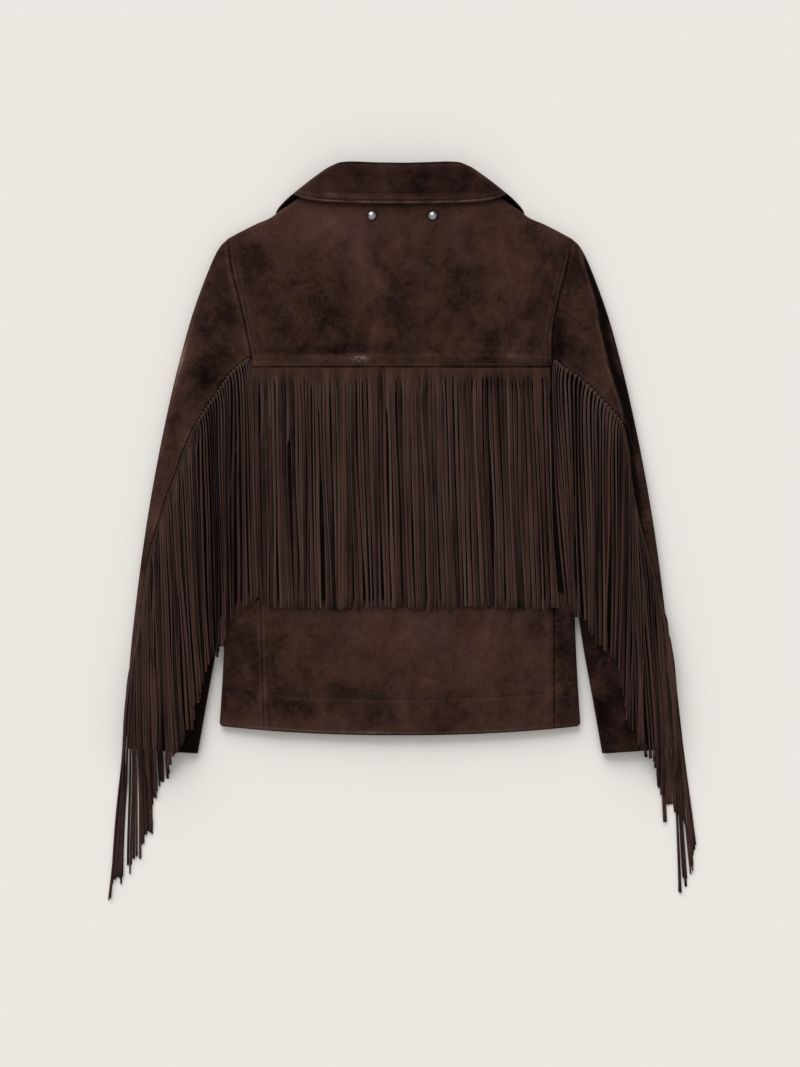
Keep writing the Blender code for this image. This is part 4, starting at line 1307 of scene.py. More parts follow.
def leaf_tone(x, from_edge):
    """A pale line by the edge, partly worn nap and partly a painted highlight, painted shadow on the
    edge itself and a dark line above; then a pale band with a dark line above.
    """
    worn = 1 + 0.2 * waves(x, 0 * x, 54, 36 * MM, 8)
    # painted highlight near the edge, and painted shadow on the edge itself
    tone = 2.3 * worn * bump(from_edge - 3.0 * MM, 1.0 * MM) - 2.0 * bump(from_edge, 0.9 * MM)
    tone = tone - 0.6 * bump(from_edge - 5.0 * MM, 0.9 * MM)
    facing = ease((from_edge - 5 * MM) / (2 * MM)) * fade((from_edge - 12 * MM) / (2 * MM))
    tone = tone + facing * (0.9 - 8 * np.clip(x - 0.02, 0, 0.1))
    return tone - 0.7 * bump(from_edge - 14.2 * MM, 0.8 * MM)

# %% Leaf and stand


def make_collar(name, table, count, replaced, wall):
    """Each row: across the back, half round at the side, slanting in under the front.

    The front of the leaf slips outwards and down, so its roll shows beyond the fold.
    """
    row = np.linspace(0, table.key[-1], count)
    near = NEAR_SEAM[1:] / COLLAR_FALL
    row = np.unique(np.concatenate([row, table.key[-1] - near]))
    side, side_y, centre_y, upper, lower, out, down = (
        table.at(column, row)[:, None]
        for column in "side side_y centre_y upper lower out down".split()
    )
    radius = (upper - lower) / 2
    angle = np.radians(np.linspace(0, 180, 25))[None, 1:]
    slip = ease((angle - np.pi / 3) / (2 * np.pi / 3))
    top_x = (side - radius) * np.linspace(0, 1, 60)[None, :]
    fold_x = side - radius * (1 - np.sin(angle))
    low_x = side - radius - COLLAR_REACH * np.linspace(0, 1, 12)[None, 1:]
    outward = np.concatenate([top_x, fold_x[:, :12]], axis=1) / side
    back_y = collar_line(outward, centre_y, side_y)
    low_y = side_y - COLLAR_SLOPE * (side - radius - low_x)
    slips = np.concatenate([0 * top_x, slip + 0 * fold_x, 1 + 0 * low_x], axis=1)
    x = np.concatenate([top_x, fold_x, low_x], axis=1) + out * slips
    y = np.concatenate([back_y, side_y + 0 * fold_x[:, 12:], low_y], axis=1) - down * slips
    round_z = lower + radius * (1 + np.cos(angle))
    z = np.concatenate([0 * top_x + upper, round_z, 0 * low_x + lower], axis=1)
    x, y, z, slips = mirrored(x, -1), mirrored(y), mirrored(z), mirrored(slips)
    over = fade(slips * 4)
    from_edge = (table.key[-1] - row)[:, None] * COLLAR_FALL
    # painted shade on the parts that slip in under the shoulders
    tone = patches(x, y, NAP_AND_PAINTED_LIGHT) + 0.25 * waves(x, y, 53, 40 * MM) - 1.3 * ease(slips * 2)
    if name == "leaf":
        z = z + over * leaf_relief(x, y, from_edge)
        # with painted shade along the top of the roll, where it turns down
        tone = tone + over * (leaf_tone(x, from_edge) - 2.5 * fade((row[:, None] - 0.5) / 1.2))
    return panel(name, [(stack(x, y, z), tone)], COLLAR_FINISH, [replaced], wall)


leaf = make_collar("leaf", COLLAR_LEAF, 44, "collar_leaf", COLLAR_WALL)
stand = make_collar("stand", COLLAR_STAND, 14, "collar_stand", SUEDE)

# %% [markdown]
# ## Fringe
# A fringe is a strip of suede slit into strands, sewn by its uncut heading. Hundreds of strands
# could be particles, but a strand here is a path on the cloth below it with a small flat section
# carried along. All the paths are one array: a row for each strand, a column for each station.
# Neighbours sway together, so the strands bunch and part, and some turn on edge.

# %% What the strands lie on


def cloth_top(x, y):
    """The highest suede at a place, 0 off the jacket."""
    out = np.abs(x)
    heights = []
    for side, here in (("left", x < 0), ("right", x >= 0)):
        inner = sleeve_inner(y, side)
        outer = SLEEVE_OUTER.at("x", y)
        on_body = (out <= body_half(y, side)) & (y >= hem_y(out))
        on_sleeve = (out >= inner) & (out <= outer) & (y >= cuff_y(out))
        body = body_top(out, y, side) + body_relief(x, y)
        sleeve_x = np.clip(out, inner, outer)
        sleeve = sleeve_top(sleeve_x, y, side) + sleeve_relief(sleeve_x, y, side)
        lying = np.maximum(np.where(on_body, body, 0), np.where(on_sleeve, sleeve, 0))
        lying = lying + np.where(on_body | on_sleeve, SUEDE / 2, 0)
        heights.append(np.where(here, lying, 0))
    return np.max(heights, axis=0)


def bridged(height, rounds=4):
    """Along each strand: the highest support at a station and its neighbours, then smoothed."""
    wide = np.pad(height, ((0, 0), (1, 1)), "edge")
    bed = np.max([wide[:, :-2], height, wide[:, 2:]], axis=0)
    for _ in range(rounds):
        inner = 0.25 * bed[:, :-2] + 0.5 * bed[:, 1:-1] + 0.25 * bed[:, 2:]
        bed = np.concatenate([bed[:, :1], inner, bed[:, -1:]], axis=1)
    return np.maximum(bed, height)


heights = cloth_top(np.array([0.0, 0.26]), np.array([0.1, 0.0]))
print("strands lie on the back and on a sleeve at", np.round(heights / MM, 1), "mm")

# %% [markdown]
# ## One strand
# A strand is a flat ribbon with more stations near its root, where it bends most. Its section has
# six corners, four of them on top. The two outer ones fall once the slit beside them is open, so
# that a cut edge shows. A table in millimetres says where the fringe is darker or paler: partly the
# strands' own tone, and partly painted light and shade, as in the shaded valley beside each sleeve.

# %% Sizes of the strands, and their shades
STATIONS = 34
STRAND_WALL = 1.2 * MM
# across and high as shares of half the width and of the thickness, and how far a cut corner falls
STRAND_SECTION = [
    (-1, 0.5, 0.45), (-0.72, 0.5, 0), (0.72, 0.5, 0), (1, 0.5, 0.45), (1, -0.5, 0), (-1, -0.5, 0)
]
# painted light on the left-hand cut edges, painted shade on the right-hand ones
CUT_EDGE_LIGHT_AND_SHADE = np.array([0.5, 0, -0.6, -0.3, 0, 0.3])
CUT_BESIDE = [0, None, 1, 1, None, 0]
CLOSE = [(0.6, 0.98), (0.9, 0.88), (1.0, 0.74)]
LOOSE = [(0.25, 0.94), (0.65, 0.80), (1.0, 0.60)]
THINNING = 0.2
ROGUES = 0.14
PRESSED = 0.68
# the strands' own tone, and partly painted light and shade, as in the valley by each sleeve
FRINGE_SHADE = Table(PATCH, [
    (-400, -335, 30, 50, -0.5), (-380, 345, 14, 60, -0.5), (-330, 338, 12, 40, -0.7),
    (-310, -328, 16, 60, -0.7), (-250, -290, 40, 40, -0.5), (-250, 290, 40, 40, -0.5),
    (-180, -300, 30, 110, 0.25), (-160, 300, 22, 110, 0.35), (-146, -251, 12, 30, -0.5),
    (-120, 250, 20, 60, -0.4), (-120, -250, 28, 40, -0.35), (-110, -208, 20, 60, -0.7),
    (-110, 276, 20, 70, -0.8), (-105, -311, 10, 40, -0.6), (-60, 301, 10, 60, -1),
    (-60, 135, 14, 30, 0.5), (-60, 265, 12, 80, -0.5), (-50, 291, 14, 90, -0.6),
    (-40, 287, 8, 40, -0.6), (-30, -287, 12, 60, -0.4), (-20, -196, 16, 110, -0.7),
    (-8, 60, 28, 26, -0.5), (-8, -119, 10, 20, 0.4), (0, -226, 22, 120, -0.9),
    (0, 273, 6, 80, -0.6), (0, 280, 13, 90, -0.5), (5, 10, 26, 24, -0.35),
    (10, -226, 26, 90, -0.6), (20, -60, 14, 120, 0.25), (20, 2, 10, 50, -0.5),
    (20, 140, 24, 120, 0.2), (30, -92, 12, 70, -0.4), (30, 1, 9, 90, -0.5), (40, 60, 24, 120, 0.3),
    (40, 236, 20, 150, -0.7), (60, -35, 10, 60, -0.3), (60, 0, 22, 100, 0.3),
    (60, 169, 9, 150, -0.9), (60, 180, 10, 100, -0.4), (60, 211, 5, 120, -1.4),
    (76, 266, 10, 70, -1.3), (90, 140, 22, 110, -0.7), (100, -23, 12, 110, 0.35),
    (100, -105, 26, 40, -0.35), (105, 73, 9, 40, 0.35), (110, -190, 10, 60, -0.5),
    (110, -107, 12, 40, -0.35), (115, -118, 10, 30, -0.3), (120, -23, 9, 90, 0.5),
    (130, -226, 24, 50, -0.6), (130, 25, 9, 60, 0.45), (140, -8, 18, 40, 0.35),
    (150, 188, 6, 50, -1.2), (155, -218, 20, 36, -0.9), (155, 169, 10, 30, -0.5),
    (160, -140, 14, 24, -0.5), (165, -95, 12, 22, -0.5), (176, -140, 14, 16, -0.6),
    (184, 125, 60, 14, -1.3), (188, 169, 10, 12, -1.2), (194, 140, 60, 5, -0.5),
])
print("places where the fringe is darker or paler:", len(FRINGE_SHADE.key))

# %% The mesh of a strand


def strand_faces(count, stations, corners=6):
    """Quads round and along every strand, and two quads over each end."""
    ring = np.arange(corners)
    strand = np.arange(count)[:, None, None] * stations * corners
    station = np.arange(stations - 1)[None, :, None] * corners
    one = strand + station + ring
    two = strand + station + np.roll(ring, -1)
    around = np.stack([one, one + corners, two + corners, two], axis=-1).reshape(-1, 4)
    first = np.arange(count)[:, None] * stations * corners
    last = first + (stations - 1) * corners
    caps = [first + np.array([0, 1, 4, 5]), first + np.array([1, 2, 3, 4])]
    caps += [last + np.array([5, 4, 1, 0]), last + np.array([4, 3, 2, 1])]
    return around, np.concatenate(caps)


def swept(middle, side, up, halves, opened):
    """Carries the section along each middle line.

    A corner falls to its cut edge once the slit beside it is open.
    """
    corners = []
    for across, high, fall in STRAND_SECTION:
        beside = int(across > 0)
        reach = (across * halves[beside])[..., None]
        level = (high - fall * opened[beside])[..., None]
        corners.append(middle + reach * side + level * up)
    return np.stack(corners, axis=2)


def enclosed(points, quads):
    """The signed volume inside: a sixth of the sum of triple products of the triangles' corners."""
    a, b, c, d = (points[quads[:, i]] for i in range(4))
    return (a * (np.cross(b, c) + np.cross(c, d))).sum() / 6


print("faces of one strand:", sum(len(faces) for faces in strand_faces(1, STATIONS)))

# %% [markdown]
# ## How strands lie
# Strands from one strip of suede move alike. So each kind of movement is a sum of waves that run
# both along the seam and down the strand, and only a little of it is each strand's own. Where
# two paths come close, both strands get narrower, as if one lay partly under the other.

# %% What the strands of a fringe share


class Strip:
    """Arrays with a row for each strand and a column for each station.

    t is the share of the way down and run the length so far. along is the place on the seam, and
    own the number of the strand. rogue strands stray more than others. opened tells how far the
    slit on each side is open, and free how far the strand may move.
    """

    def __init__(self, root, tip, seed, uncut):
        self.seed = seed
        self.chance = np.random.default_rng(seed)
        self.count = len(root)
        self.t = np.linspace(0, 1, STATIONS)[None, :] ** 1.6
        self.own = np.arange(self.count)[:, None] + 0 * self.t
        steps = np.hypot(*np.diff(root, axis=0).T)
        self.along = np.concatenate([[0], np.cumsum(steps)])[:, None] + 0 * self.t
        self.run = self.t * np.hypot(*(tip - root).T)[:, None]
        self.free = ease((self.run - 0.5 * uncut.min()) / (34 * MM))
        self.rogue = (self.chance.random(self.count) < ROGUES)[:, None]
        slit = ease((self.run.mean(axis=0)[None, :] - uncut[:, None]) / (3.5 * MM))
        self.opened = [slit[:-1], slit[1:]]

    def sway(self, order, number, span, turns, count=10):
        """Waves that are smooth in both the given order of the strands and the way down a strand."""
        chance = np.random.default_rng(self.seed + number)
        across = 2 * np.pi / (span * chance.uniform(0.5, 1.6, count)) * chance.choice([-1, 1], count)
        down = 2 * np.pi * chance.uniform(0.2, turns, count)
        phase = chance.uniform(0, 2 * np.pi, count)
        angle = order[..., None] * across + self.t[..., None] * down + phase
        return np.sin(angle).sum(axis=-1) / np.sqrt(count / 2)

# %% Paths, turns and heights of the strands


def strand_paths(strip, root, leave, tip, swing, bend):
    """x and y at every station. Neighbours sway together, and each strand sways a little by itself.

    x = root + leave * bend * (1 - exp(-s / bend)) + swing * (1 - exp(-s / 30 mm)) + rest * t^1.25,
    where s is the length so far and t its share.
    """
    t = strip.t
    together = 1.5 * MM * strip.sway(strip.along, 1, 42 * MM, 0.8) * strip.free * t**0.5
    single = (0.4 + 1.3 * strip.rogue) * MM * strip.sway(strip.own * 7.3, 2, 3.0, 1.6) * strip.free
    leaving = bend * (1 - np.exp(-strip.run / bend))
    swung = swing[:, None] * (1 - np.exp(-strip.run / (30 * MM)))
    rest = (tip[:, 0] - root[:, 0] - leave[:, 0] * bend - swing)[:, None]
    fall = (tip[:, 1] - root[:, 1] - leave[:, 1] * bend)[:, None]
    x = root[:, :1] + leave[:, :1] * leaving + swung + rest * t**1.25 + together + single
    y = root[:, 1:] + leave[:, 1:] * leaving + fall * t
    return x, y


def strand_turns(strip, upright):
    """The angle by which a strand leans over, and how far it stands on edge, 0 to 1."""
    turn = np.radians(12) * strip.sway(strip.own * 5.1, 3, 3.0, 1.2) * strip.free
    edgewise = ease(0.9 * strip.sway(strip.own * 9.1, 6, 3.0, 1.0) - 0.8)
    rooted = (upright * strip.chance.uniform(0.45, 1, strip.count))[:, None]
    return turn, np.maximum(edgewise * strip.free, rooted * np.exp(-strip.run / (60 * MM)))


def strand_heights(strip, x, y, turn):
    """Strands lie on the cloth, some on top of others in an order that repeats."""
    order = np.array([0, 2, 0, 1, 0, 2, 1])[np.arange(strip.count) % 7][:, None]
    layer = (STRAND_WALL + 0.1 * MM) * (order + 1.2 * strip.rogue)
    stacked = layer * ease(strip.run / (26 * MM) - 0.3)
    near = [(a * MM, b * MM) for a in (-4, 0, 4) for b in (-6, 6)]
    bed = bridged(np.max([cloth_top(x + a, y + b) for a, b in near], axis=0))
    z = bed + 0.55 * STRAND_WALL + stacked * (0.5 + 0.5 * ease(bed / (9 * MM)))
    return z + 2 * MM * np.abs(np.sin(turn)) - 0.3 * MM * np.exp(-strip.run / (8 * MM))

# %% Widths of the strands


def sideways(x, y):
    """Level vectors of length 1, square to each path."""
    line = np.stack([np.gradient(x, axis=1), np.gradient(y, axis=1)], axis=-1)
    line = line / np.linalg.norm(line, axis=-1, keepdims=True)
    return np.stack([-line[..., 1], line[..., 0], 0 * x], axis=-1)


def strand_fill(strip, y, fill, shade, loose):
    """The share of the place between two paths that suede fills, for each gap between them.

    It is less where the fringe is dark, since more shows between the strands, and nearly all of
    it where strands are pressed together beside the jacket.
    """
    kind = strip.chance.random(strip.count + 1)
    filled = np.select([kind < most for most, _ in fill], [share for _, share in fill])[:, None]
    gap = np.arange(strip.count + 1)[:, None] + 0 * strip.t
    filled = np.minimum(filled + 0.06 * strip.sway(gap * 4.3, 7, 3.0, 1.4), 0.98)
    thin = THINNING * np.clip(-shade, 0, 1.2)
    filled = filled - 0.5 * (np.concatenate([thin[:1], thin]) + np.concatenate([thin, thin[-1:]]))
    above_cuff = ease((y + 0.255) / 0.015)
    pressed = np.maximum((strip.chance.random(strip.count) < PRESSED)[:, None], above_cuff)
    shut = np.concatenate([(loose * pressed)[:1], loose * pressed])
    return filled + (0.99 - filled) * shut


def strand_halves(strip, x, y, across, filled, edgewise, widest):
    """Half the width of each strand towards the one before it and towards the one after it."""
    space = np.diff(x, axis=0) * across[:-1, :, 0] + np.diff(y, axis=0) * across[:-1, :, 1]
    space = np.clip(np.abs(np.concatenate([space[:1], space, space[-1:]])), 2.3 * MM, widest)
    sides = zip([space[:-1], space[1:]], [filled[:-1], filled[1:]], strip.opened)
    return [
        0.5 * wide * (cut * share * (1 - 0.45 * edgewise) + (1 - cut) * 1.02)
        for wide, share, cut in sides
    ]

# %% Strands


def store_shades(mesh, strip, shade, edgewise, caps):
    """Tone and pale for each ring of points, with painted shade at the tips, and cut for each face,
    where a cut edge shows.
    """
    run = strip.run
    tone = 0.9 * strip.chance.uniform(-1, 1, strip.count)[:, None]
    tone = tone + 0.9 * strip.sway(strip.along, 5, 30 * MM, 0.5)
    tone = tone + 0.5 * strip.sway(strip.own * 3.7, 4, 3.0, 1.5)
    tone = tone + np.where(shade > 0, 1.5, 0.8) * shade
    # painted shade on the last few millimetres of each tip
    tone = tone * ease(run / (25 * MM) + 0.3) - 1.3 * np.exp((run - run[:, -1:]) / (2 * MM))
    corners = len(STRAND_SECTION)
    store(mesh, "tone", "POINT", np.repeat(tone.reshape(-1), corners))
    store(mesh, "pale", "POINT", np.repeat(0.5 * edgewise.reshape(-1), corners))
    whole = np.ones((strip.count, STATIONS - 1))
    shown = [0.5 * (cut[:, 1:] + cut[:, :-1]) for cut in strip.opened]
    beside = [whole if side is None else shown[side] for side in CUT_BESIDE]
    cut = (np.stack(beside, axis=-1) * CUT_EDGE_LIGHT_AND_SHADE).reshape(-1)
    store(mesh, "cut", "FACE", np.concatenate([cut, np.full(len(caps), 0.8)]))


def make_strands(name, root, leave, tip, swing, seed, bend, uncut, upright, fill, widest):
    """One mesh of strands. Each row of root, leave and tip is x, y of a strand, in order of x.

    uncut is where the slit on each side of a strand begins. upright is how far the roots stand on
    edge. fill gives how much of its place a strand fills, as (chance, share), and widest is the
    most it can take.
    """
    strip = Strip(root, tip, seed, uncut)
    x, y = strand_paths(strip, root, leave, tip, swing, bend)
    turn, edgewise = strand_turns(strip, upright)
    across = sideways(x, y)
    shade = patches(x, y, FRINGE_SHADE)
    loose = fade(cloth_top(x, y) / (6 * MM))
    filled = strand_fill(strip, y, fill, shade, loose)
    edgewise = edgewise * (1 - 0.8 * loose)
    halves = strand_halves(strip, x, y, across, filled, edgewise, widest)
    middle = np.stack([x, y, strand_heights(strip, x, y, turn)], axis=-1)
    upwards = np.array([0, 0, 1.0])
    cos, sin = np.cos(turn)[..., None], np.sin(turn)[..., None]
    side = across * cos + upwards * sin
    up = STRAND_WALL * (upwards * cos - across * sin)
    points = swept(middle, side, up, halves, strip.opened).reshape(-1, 3)
    around, caps = strand_faces(strip.count, STATIONS)
    quads = np.concatenate([around, caps])
    piece_name = name.replace("fringe", "strands")
    mesh = mesh_from(piece_name, points, quads)
    store_shades(mesh, strip, shade, edgewise, caps)
    mesh.set_sharp_from_angle(angle=np.radians(30))
    piece = put(piece_name, mesh, FRINGE_FINISH, [name])
    volume = round(enclosed(points, quads) * 1e6, 1)
    print(name, strip.count, "strands,", len(quads), "faces,", volume, "cm3")
    return piece

# %% [markdown]
# ## Finish of the fringe
# The same suede, with its patches drawn out along the strands. Each strand has a tone of its own,
# and its cut edges, where the inside of the hide shows, are a little paler. Painted light makes the
# left-hand cut edges paler still, painted shade makes the right-hand ones nearly black, and the tips
# get painted shade too.

# %% Fringe finish


def fringe_finish(name, warm, cool, edge):
    """A tone for each strand; cut edges are pale, with painted light, where cut is above 0, and painted
    shade where it is below.
    """
    material, shader, place = new_material(name)
    drawn = place.stretched((1, 0.2, 1))
    mottle = drawn.noise(120, 4, 0.65)
    fibres = place.noise(1300, 2, 0.6)
    mask = 0.56 + (mottle - 0.5) * 0.9 + (fibres - 0.5) * 0.4 + place.reads("tone") * 0.17
    hue = (drawn.noise(60, 3, 0.6) - 0.5) * 2.6 + 0.45
    cut = place.reads("cut")
    nap = hue.mixed(mask.ramp(warm), mask.ramp(cool))
    face = (cut + place.reads("pale")).mixed(nap, (*edge, 1))
    looks = {
        # painted shade: the near black of the shaded cut edges
        "Base Color": (cut * -1).mixed(face, (*rgb(9, 3, 2), 1)),
        "Normal": (fibres + mottle * 0.6).relief(0.4, 0.4 * MM),
        "Roughness": 0.92,
        "Specular IOR Level": 0.08,
        "Sheen Weight": 0.05,
        "Sheen Roughness": 0.5,
        "Sheen Tint": (0.9, 0.66, 0.58, 1),
    }
    fill_inputs(material.node_tree, shader, looks)
    return material


FRINGE_FINISH = fringe_finish("fringe_suede", WARM, COOL, rgb(80, 67, 62))
print("fringe finish made")

# %% [markdown]
# ## Three fringes
# The back fringe starts from one straight seam. A sleeve's seam curves, so there the roots are
# spread by the length of the seam and each strand first leaves it squarely.

# %% Back fringe
BACK_STRANDS = 80
BACK_ROOT_Y = 0.1985
BACK_TIP_Y = -0.0885


def make_back_fringe():
    """The slits start at uneven depths below the heading, and a few much lower."""
    count = BACK_STRANDS
    chance = np.random.default_rng(61)
    share = np.linspace(0, 1, count)
    share[1:-1] += chance.uniform(-0.32, 0.32, count - 2) / (count - 1)
    ends = np.array([BACK_ROOT_Y, BACK_TIP_Y])
    left, right = (BACK_FRINGE.at(side, ends) for side in SIDES)
    root = np.stack([-left[0] + (left[0] + right[0]) * share, BACK_ROOT_Y + 0 * share], axis=1)
    tip_x = -left[1] + (left[1] + right[1]) * share + chance.normal(0, 0.8 * MM, count)
    wavy = 1.2 * MM * np.sin(share * 19)
    shorter = 6 * MM * (share < 0.03)
    ragged = chance.uniform(-2, 1.2, count) * MM
    tip = np.stack([tip_x, BACK_TIP_Y + shorter + wavy + ragged], axis=1)
    leave = np.stack([0 * share, -1 + 0 * share], axis=1)
    late = np.where(chance.random(count + 1) < 0.2, chance.uniform(20, 110, count + 1), 0)
    uncut = (chance.uniform(2.5, 12, count + 1) + late) * MM
    row = root, leave, tip, 0 * share
    return make_strands(
        "fringe_back", *row, seed=62, bend=5 * MM, uncut=uncut, upright=0, fill=CLOSE, widest=6.8 * MM
    )


back_strands = make_back_fringe()

# %% Sleeve fringes
SLEEVE_STRANDS = 94
# one strand a side lies apart: the height of its root, and what its lean and its length gain
STRAY = {"left": (-70, 4, 3), "right": (-37, -9, 14)}


def make_sleeve_fringe(side, seed):
    """Roots along the seam, closer where it is steep.

    A strand leaves a slanting seam square to it and then turns down, and leaves a steep one downwards.
    """
    sign = SIDES[side]
    count = SLEEVE_STRANDS
    table = SLEEVE_SEAM[side]
    reach = SLEEVE_FRINGE[side]
    chance = np.random.default_rng(seed)
    fine_y = np.linspace(table.key[-1] - 2 * MM, reach.key[0] * MM, 400)
    fine_x = table.at("x", fine_y)
    run = np.concatenate([[0], np.cumsum(np.hypot(np.diff(fine_x), np.diff(fine_y)))])
    slope = np.gradient(fine_x, run)
    weight = 1.3 - 0.8 * np.abs(slope) + 1.5 * np.exp(-run / (9 * MM))
    crowded = np.concatenate([[0], np.cumsum(weight[1:] * np.diff(run))])
    step = np.interp(np.linspace(0, crowded[-1], count), crowded, run)
    root_x, root_y, slope_x, slope_y = (
        np.interp(step, run, line) for line in (fine_x, fine_y, slope, np.gradient(fine_y, run))
    )
    shallow = np.clip(np.abs(slope_x) / 0.7, 0, 1) ** 1.5
    leave = np.stack([sign * slope_y * shallow, -np.abs(slope_x)], axis=1)
    lean, long, swing = (reach.at(name, root_y / MM) * MM for name in ("lean", "length", "swing"))
    ragged = (6 + 9 * ease((-20 * MM - root_y) / (80 * MM))) * chance.uniform(-1, 0.15, count)
    long = long + (ragged + 2 * np.sin(step / (9 * MM))) * MM
    stray_y, stray_lean, stray_long = (part * MM for part in STRAY[side])
    stray = np.argmin(np.abs(root_y - stray_y))
    lean[stray] += stray_lean
    long[stray] += stray_long
    tip = np.stack([sign * (root_x + lean), root_y - long], axis=1)
    tip[:, 0] += chance.normal(0, 1.1 * MM, count)
    root = np.stack([sign * root_x, root_y], axis=1)
    uncut = np.zeros(count + 1)
    order = slice(None, None, sign)
    row = [part[order] for part in (root, leave, tip, sign * swing)]
    name, upright = f"fringe_sleeve_{side}", 0.9 * shallow[order]
    return make_strands(
        name, *row, seed + 1, bend=5.5 * MM, uncut=uncut, upright=upright, fill=LOOSE, widest=5.2 * MM
    )


sleeve_strands = {"left": make_sleeve_fringe("left", 71), "right": make_sleeve_fringe("right", 81)}

# %% [markdown]
# ## Stitches
# A machine's lockstitch shows as a row of short beads of thread, sunk a little at both ends.
# Each bead is a small six-sided spindle, and all of them are one mesh. The rows follow the same
# tables as the seams, and each bead takes its height from the nearest points of its panel.

# %% Rows of stitches
STITCH_PITCH = 3.4 * MM
STITCH_LENGTH = 2.5 * MM
THREAD = 0.6 * MM


def panel_height(piece, x, y):
    """Mean height of the four nearest points of the upper layer, weighted by closeness."""
    points = np.empty(len(piece.data.vertices) * 3, np.float32)
    piece.data.vertices.foreach_get("co", points)
    points = points.reshape(-1, 3)
    points = points[points[:, 2] > FOLD_HEIGHT + 2 * MM]
    apart = (x[:, None] - points[:, 0]) ** 2 + (y[:, None] - points[:, 1]) ** 2
    nearest = np.argpartition(apart, 4, axis=1)[:, :4]
    weight = 1 / (np.take_along_axis(apart, nearest, axis=1) + (0.3 * MM) ** 2)
    return (weight * points[nearest, 2]).sum(axis=1) / weight.sum(axis=1)


def bead_row(piece, x, y, wall=SUEDE):
    """Beads at even steps along the line (x, y): their middles and their directions."""
    run = np.concatenate([[0], np.cumsum(np.hypot(np.diff(x), np.diff(y)))])
    place = np.arange(STITCH_PITCH / 2, run[-1], STITCH_PITCH)
    x, y, slope_x, slope_y = (
        np.interp(place, run, line) for line in (x, y, np.gradient(x, run), np.gradient(y, run))
    )
    middle = np.stack([x, y, panel_height(piece, x, y) + wall / 2], axis=-1)
    return middle, np.stack([slope_x, slope_y, 0 * x], axis=-1)


def leaf_line(from_edge, x):
    """Where a line at this distance from the edge of the leaf crosses each x."""
    row = COLLAR_LEAF.key[-1] - from_edge / COLLAR_FALL
    centre, side, side_y = (COLLAR_LEAF.at(name, row) for name in ("centre_y", "side", "side_y"))
    return collar_line(np.abs(x) / side, centre, side_y)


def between(first, last):
    """Even steps along a line of stitches."""
    return first + (last - first) * np.linspace(0, 1, 300)


def all_rows():
    """The beads of the yoke seam, the hem, the armholes, the back and sleeve seams, and the collar."""
    rows = []
    for offset in YOKE_STITCHES:
        y = YOKE_Y + GAP / 2 + offset
        left, right = (ARMHOLE.at(side, y) - 6 * MM for side in SIDES)
        x = between(-left, right)
        rows.append((yoke, x, y + 0 * x))
    x = between(-0.160, 0.180)
    rows.append((back, x, hem_y(x) + HEM_TURN))
    for side, sign in SIDES.items():
        y = between(YOKE_Y + 9 * MM, 0.345)
        rows.append((yoke, sign * (ARMHOLE.at(side, y) - GAP / 2 - ARMHOLE_STITCH), y))
        y = between(HEM_Y + 0.012, -0.080)
        rows.append((back, sign * (BACK_SEAM.at(side, y) - BACK_STITCH[side] - GAP / 2), y))
        y = between(0.10, SLEEVE_SEAM[side].key[-1] - 0.006)
        rows.append((top_sleeves[side], sign * (SLEEVE_SEAM[side].at("x", y) + 5.8 * MM), y))
    x = between(-0.106, 0.106)
    rows = [bead_row(*row) for row in rows]
    return rows + [bead_row(leaf, x, leaf_line(6.4 * MM, x), COLLAR_WALL)]

# %% Beads of thread


def make_stitches():
    """Rings of six points along each bead, its ends narrow and sunk."""
    middle, along = (np.concatenate(part) for part in zip(*all_rows()))
    across = np.stack([-along[:, 1], along[:, 0], 0 * along[:, 0]], axis=-1)
    station = np.array([-0.5, -0.3, 0.3, 0.5]) * STITCH_LENGTH
    round_it = np.array([0.45, 1, 1, 0.45]) * THREAD / 2
    sunk = np.array([-0.35, 0, 0, -0.35]) * THREAD
    turn = np.radians(np.arange(6) * -60)
    line = middle[:, None] + station[:, None] * along[:, None]
    line[..., 2] += sunk + 0.15 * THREAD
    ring_across = (np.cos(turn) * round_it[:, None])[..., None] * across[:, None, None]
    ring_up = (np.sin(turn) * round_it[:, None])[..., None] * np.array([0, 0, 1.0])
    points = line[:, :, None] + ring_across + ring_up
    around, caps = strand_faces(len(middle), len(station))
    points, quads = points.reshape(-1, 3), np.concatenate([around, caps])
    material, shader, place = new_material("thread")
    colour = place.noise(1800, 2, 0.6).mixed((*rgb(36, 23, 18), 1), (*rgb(62, 45, 38), 1))
    looks = {"Base Color": colour, "Roughness": 0.7, "Specular IOR Level": 0.2}
    fill_inputs(material.node_tree, shader, looks)
    put("stitches", mesh_from("stitches", points, quads), material)
    print("stitches:", len(middle), "beads,", round(enclosed(points, quads) * 1e9, 1), "cubic mm")


make_stitches()

# %% [markdown]
# ## Studs
# Two small metal studs sit under the collar. Each is a plain dome with a flat rim, turned from
# its profile, in pale polished metal.

# %% Studs
STUD_RADIUS = 4.5 * MM
STUD_HEIGHT = 2.8 * MM


def metal(name):
    """Dull pale metal, a little darker and smoother in small spots."""
    material, shader, place = new_material(name)
    worn = place.noise(900, 2, 0.5)
    tint = worn.mixed((0.36, 0.355, 0.345, 1), (0.58, 0.57, 0.555, 1))
    looks = {"Roughness": 0.2 + worn * 0.18, "Base Color": tint, "Metallic": 1.0}
    fill_inputs(material.node_tree, shader, looks)
    return material


STUD_FINISH = metal("stud_metal")
# radius and height as shares of the stud's own, from the middle of the dome outwards
STUD_PROFILE = np.array([
    (0, 1), (0.25, 0.96), (0.45, 0.86), (0.62, 0.68), (0.72, 0.46), (0.78, 0.3), (0.84, 0.26),
    (0.93, 0.25), (0.99, 0.2), (1, 0.1), (0.97, -0.1), (0, -0.1),
])


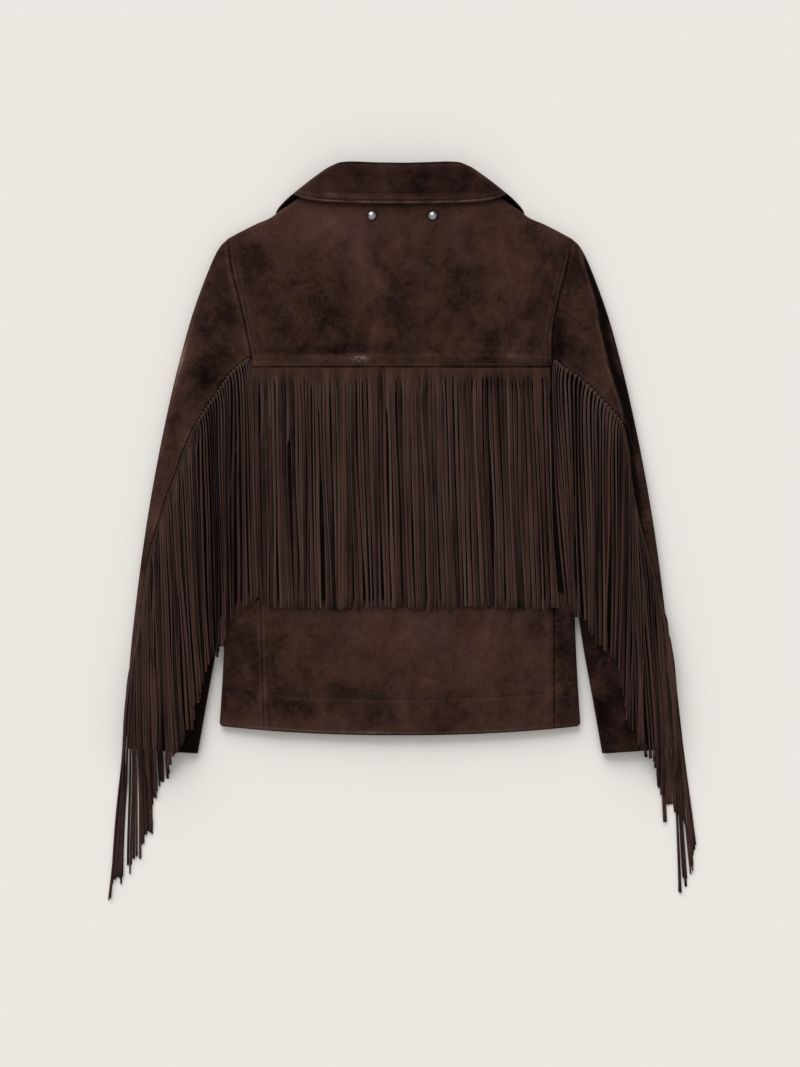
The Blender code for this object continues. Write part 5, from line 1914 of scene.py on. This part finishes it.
def make_stud(side, x):
    """A profile turned about the stud's axis: dome, rim, and a short wall down into the suede."""
    turn = np.linspace(0, 2 * np.pi, 33)[None, :]
    bed = float(body_top(np.array(abs(x)), np.array(STUD_Y), side)) + SUEDE / 2
    radius = STUD_PROFILE[:, :1] * STUD_RADIUS
    level = bed + STUD_PROFILE[:, 1:] * STUD_HEIGHT
    points = stack(x + radius * np.cos(turn), STUD_Y + radius * np.sin(turn), level)
    quads = grid_quads(len(STUD_PROFILE), turn.size)
    mesh = mesh_from(f"stud_{side}", points.reshape(-1, 3), quads)
    weld(mesh, 0.01 * MM)
    piece = put(f"stud_dome_{side}", mesh, STUD_FINISH, [f"stud_{side}"])
    return piece


studs = [make_stud(side, x) for side, x in STUD_X.items()]

# %% [markdown]
# ## Table and light
# A pale matt table, a wide soft light from beyond the collar and a little to the left, and an
# even sky. The soft light is a sun with a very large disc: its shadow blurs like that of a big
# softbox, and it lights the whole table evenly.

# %% Table and light
TABLE_COLOUR = (0.80, 0.765, 0.722)
TABLE_HALF = 30.0
LIGHT_SHARE = 0.40
LIGHT_LEVEL = 1.0475
LIGHT_HEIGHT = 27
LIGHT_TURN = 16
LIGHT_SPREAD = 55


def make_table():
    """One square that reaches far past the picture."""
    corners = np.array([(-1, -1, 0), (1, -1, 0), (1, 1, 0), (-1, 1, 0)]) * TABLE_HALF
    mesh = mesh_from("table", corners, np.array([[0, 1, 2, 3]]))
    material, shader, _ = new_material("table_top")
    looks = {"Base Color": (*TABLE_COLOUR, 1), "Roughness": 0.9, "Specular IOR Level": 0}
    fill_inputs(material.node_tree, shader, looks)
    show("table", mesh, material)


def make_light():
    """LIGHT_SHARE of the light on the table comes from the sun, the rest from an even sky."""
    world = bpy.data.worlds.new("room")
    world.use_nodes = True
    sky = {"Color": (1, 1, 1, 1), "Strength": LIGHT_LEVEL * (1 - LIGHT_SHARE)}
    fill_inputs(world.node_tree, world.node_tree.nodes["Background"], sky)
    bpy.context.scene.world = world
    data = bpy.data.lights.new("window", "SUN")
    height = np.radians(LIGHT_HEIGHT)
    data.energy = LIGHT_LEVEL * LIGHT_SHARE * np.pi / np.sin(height)
    data.angle = np.radians(LIGHT_SPREAD)
    light = bpy.data.objects.new("window", data)
    light.rotation_euler = (np.pi / 2 - height, 0, np.radians(180 + LIGHT_TURN))
    bpy.context.scene.collection.objects.link(light)
    print("light from above the collar, energy", round(data.energy, 3))


make_table()
make_light()
bpy.context.scene.view_settings.view_transform = "Standard"

# %% [markdown]
# ## The end
# The jacket, its table and its light are all in place.
# %% The end

print("the jacket, its table and its light are in place")
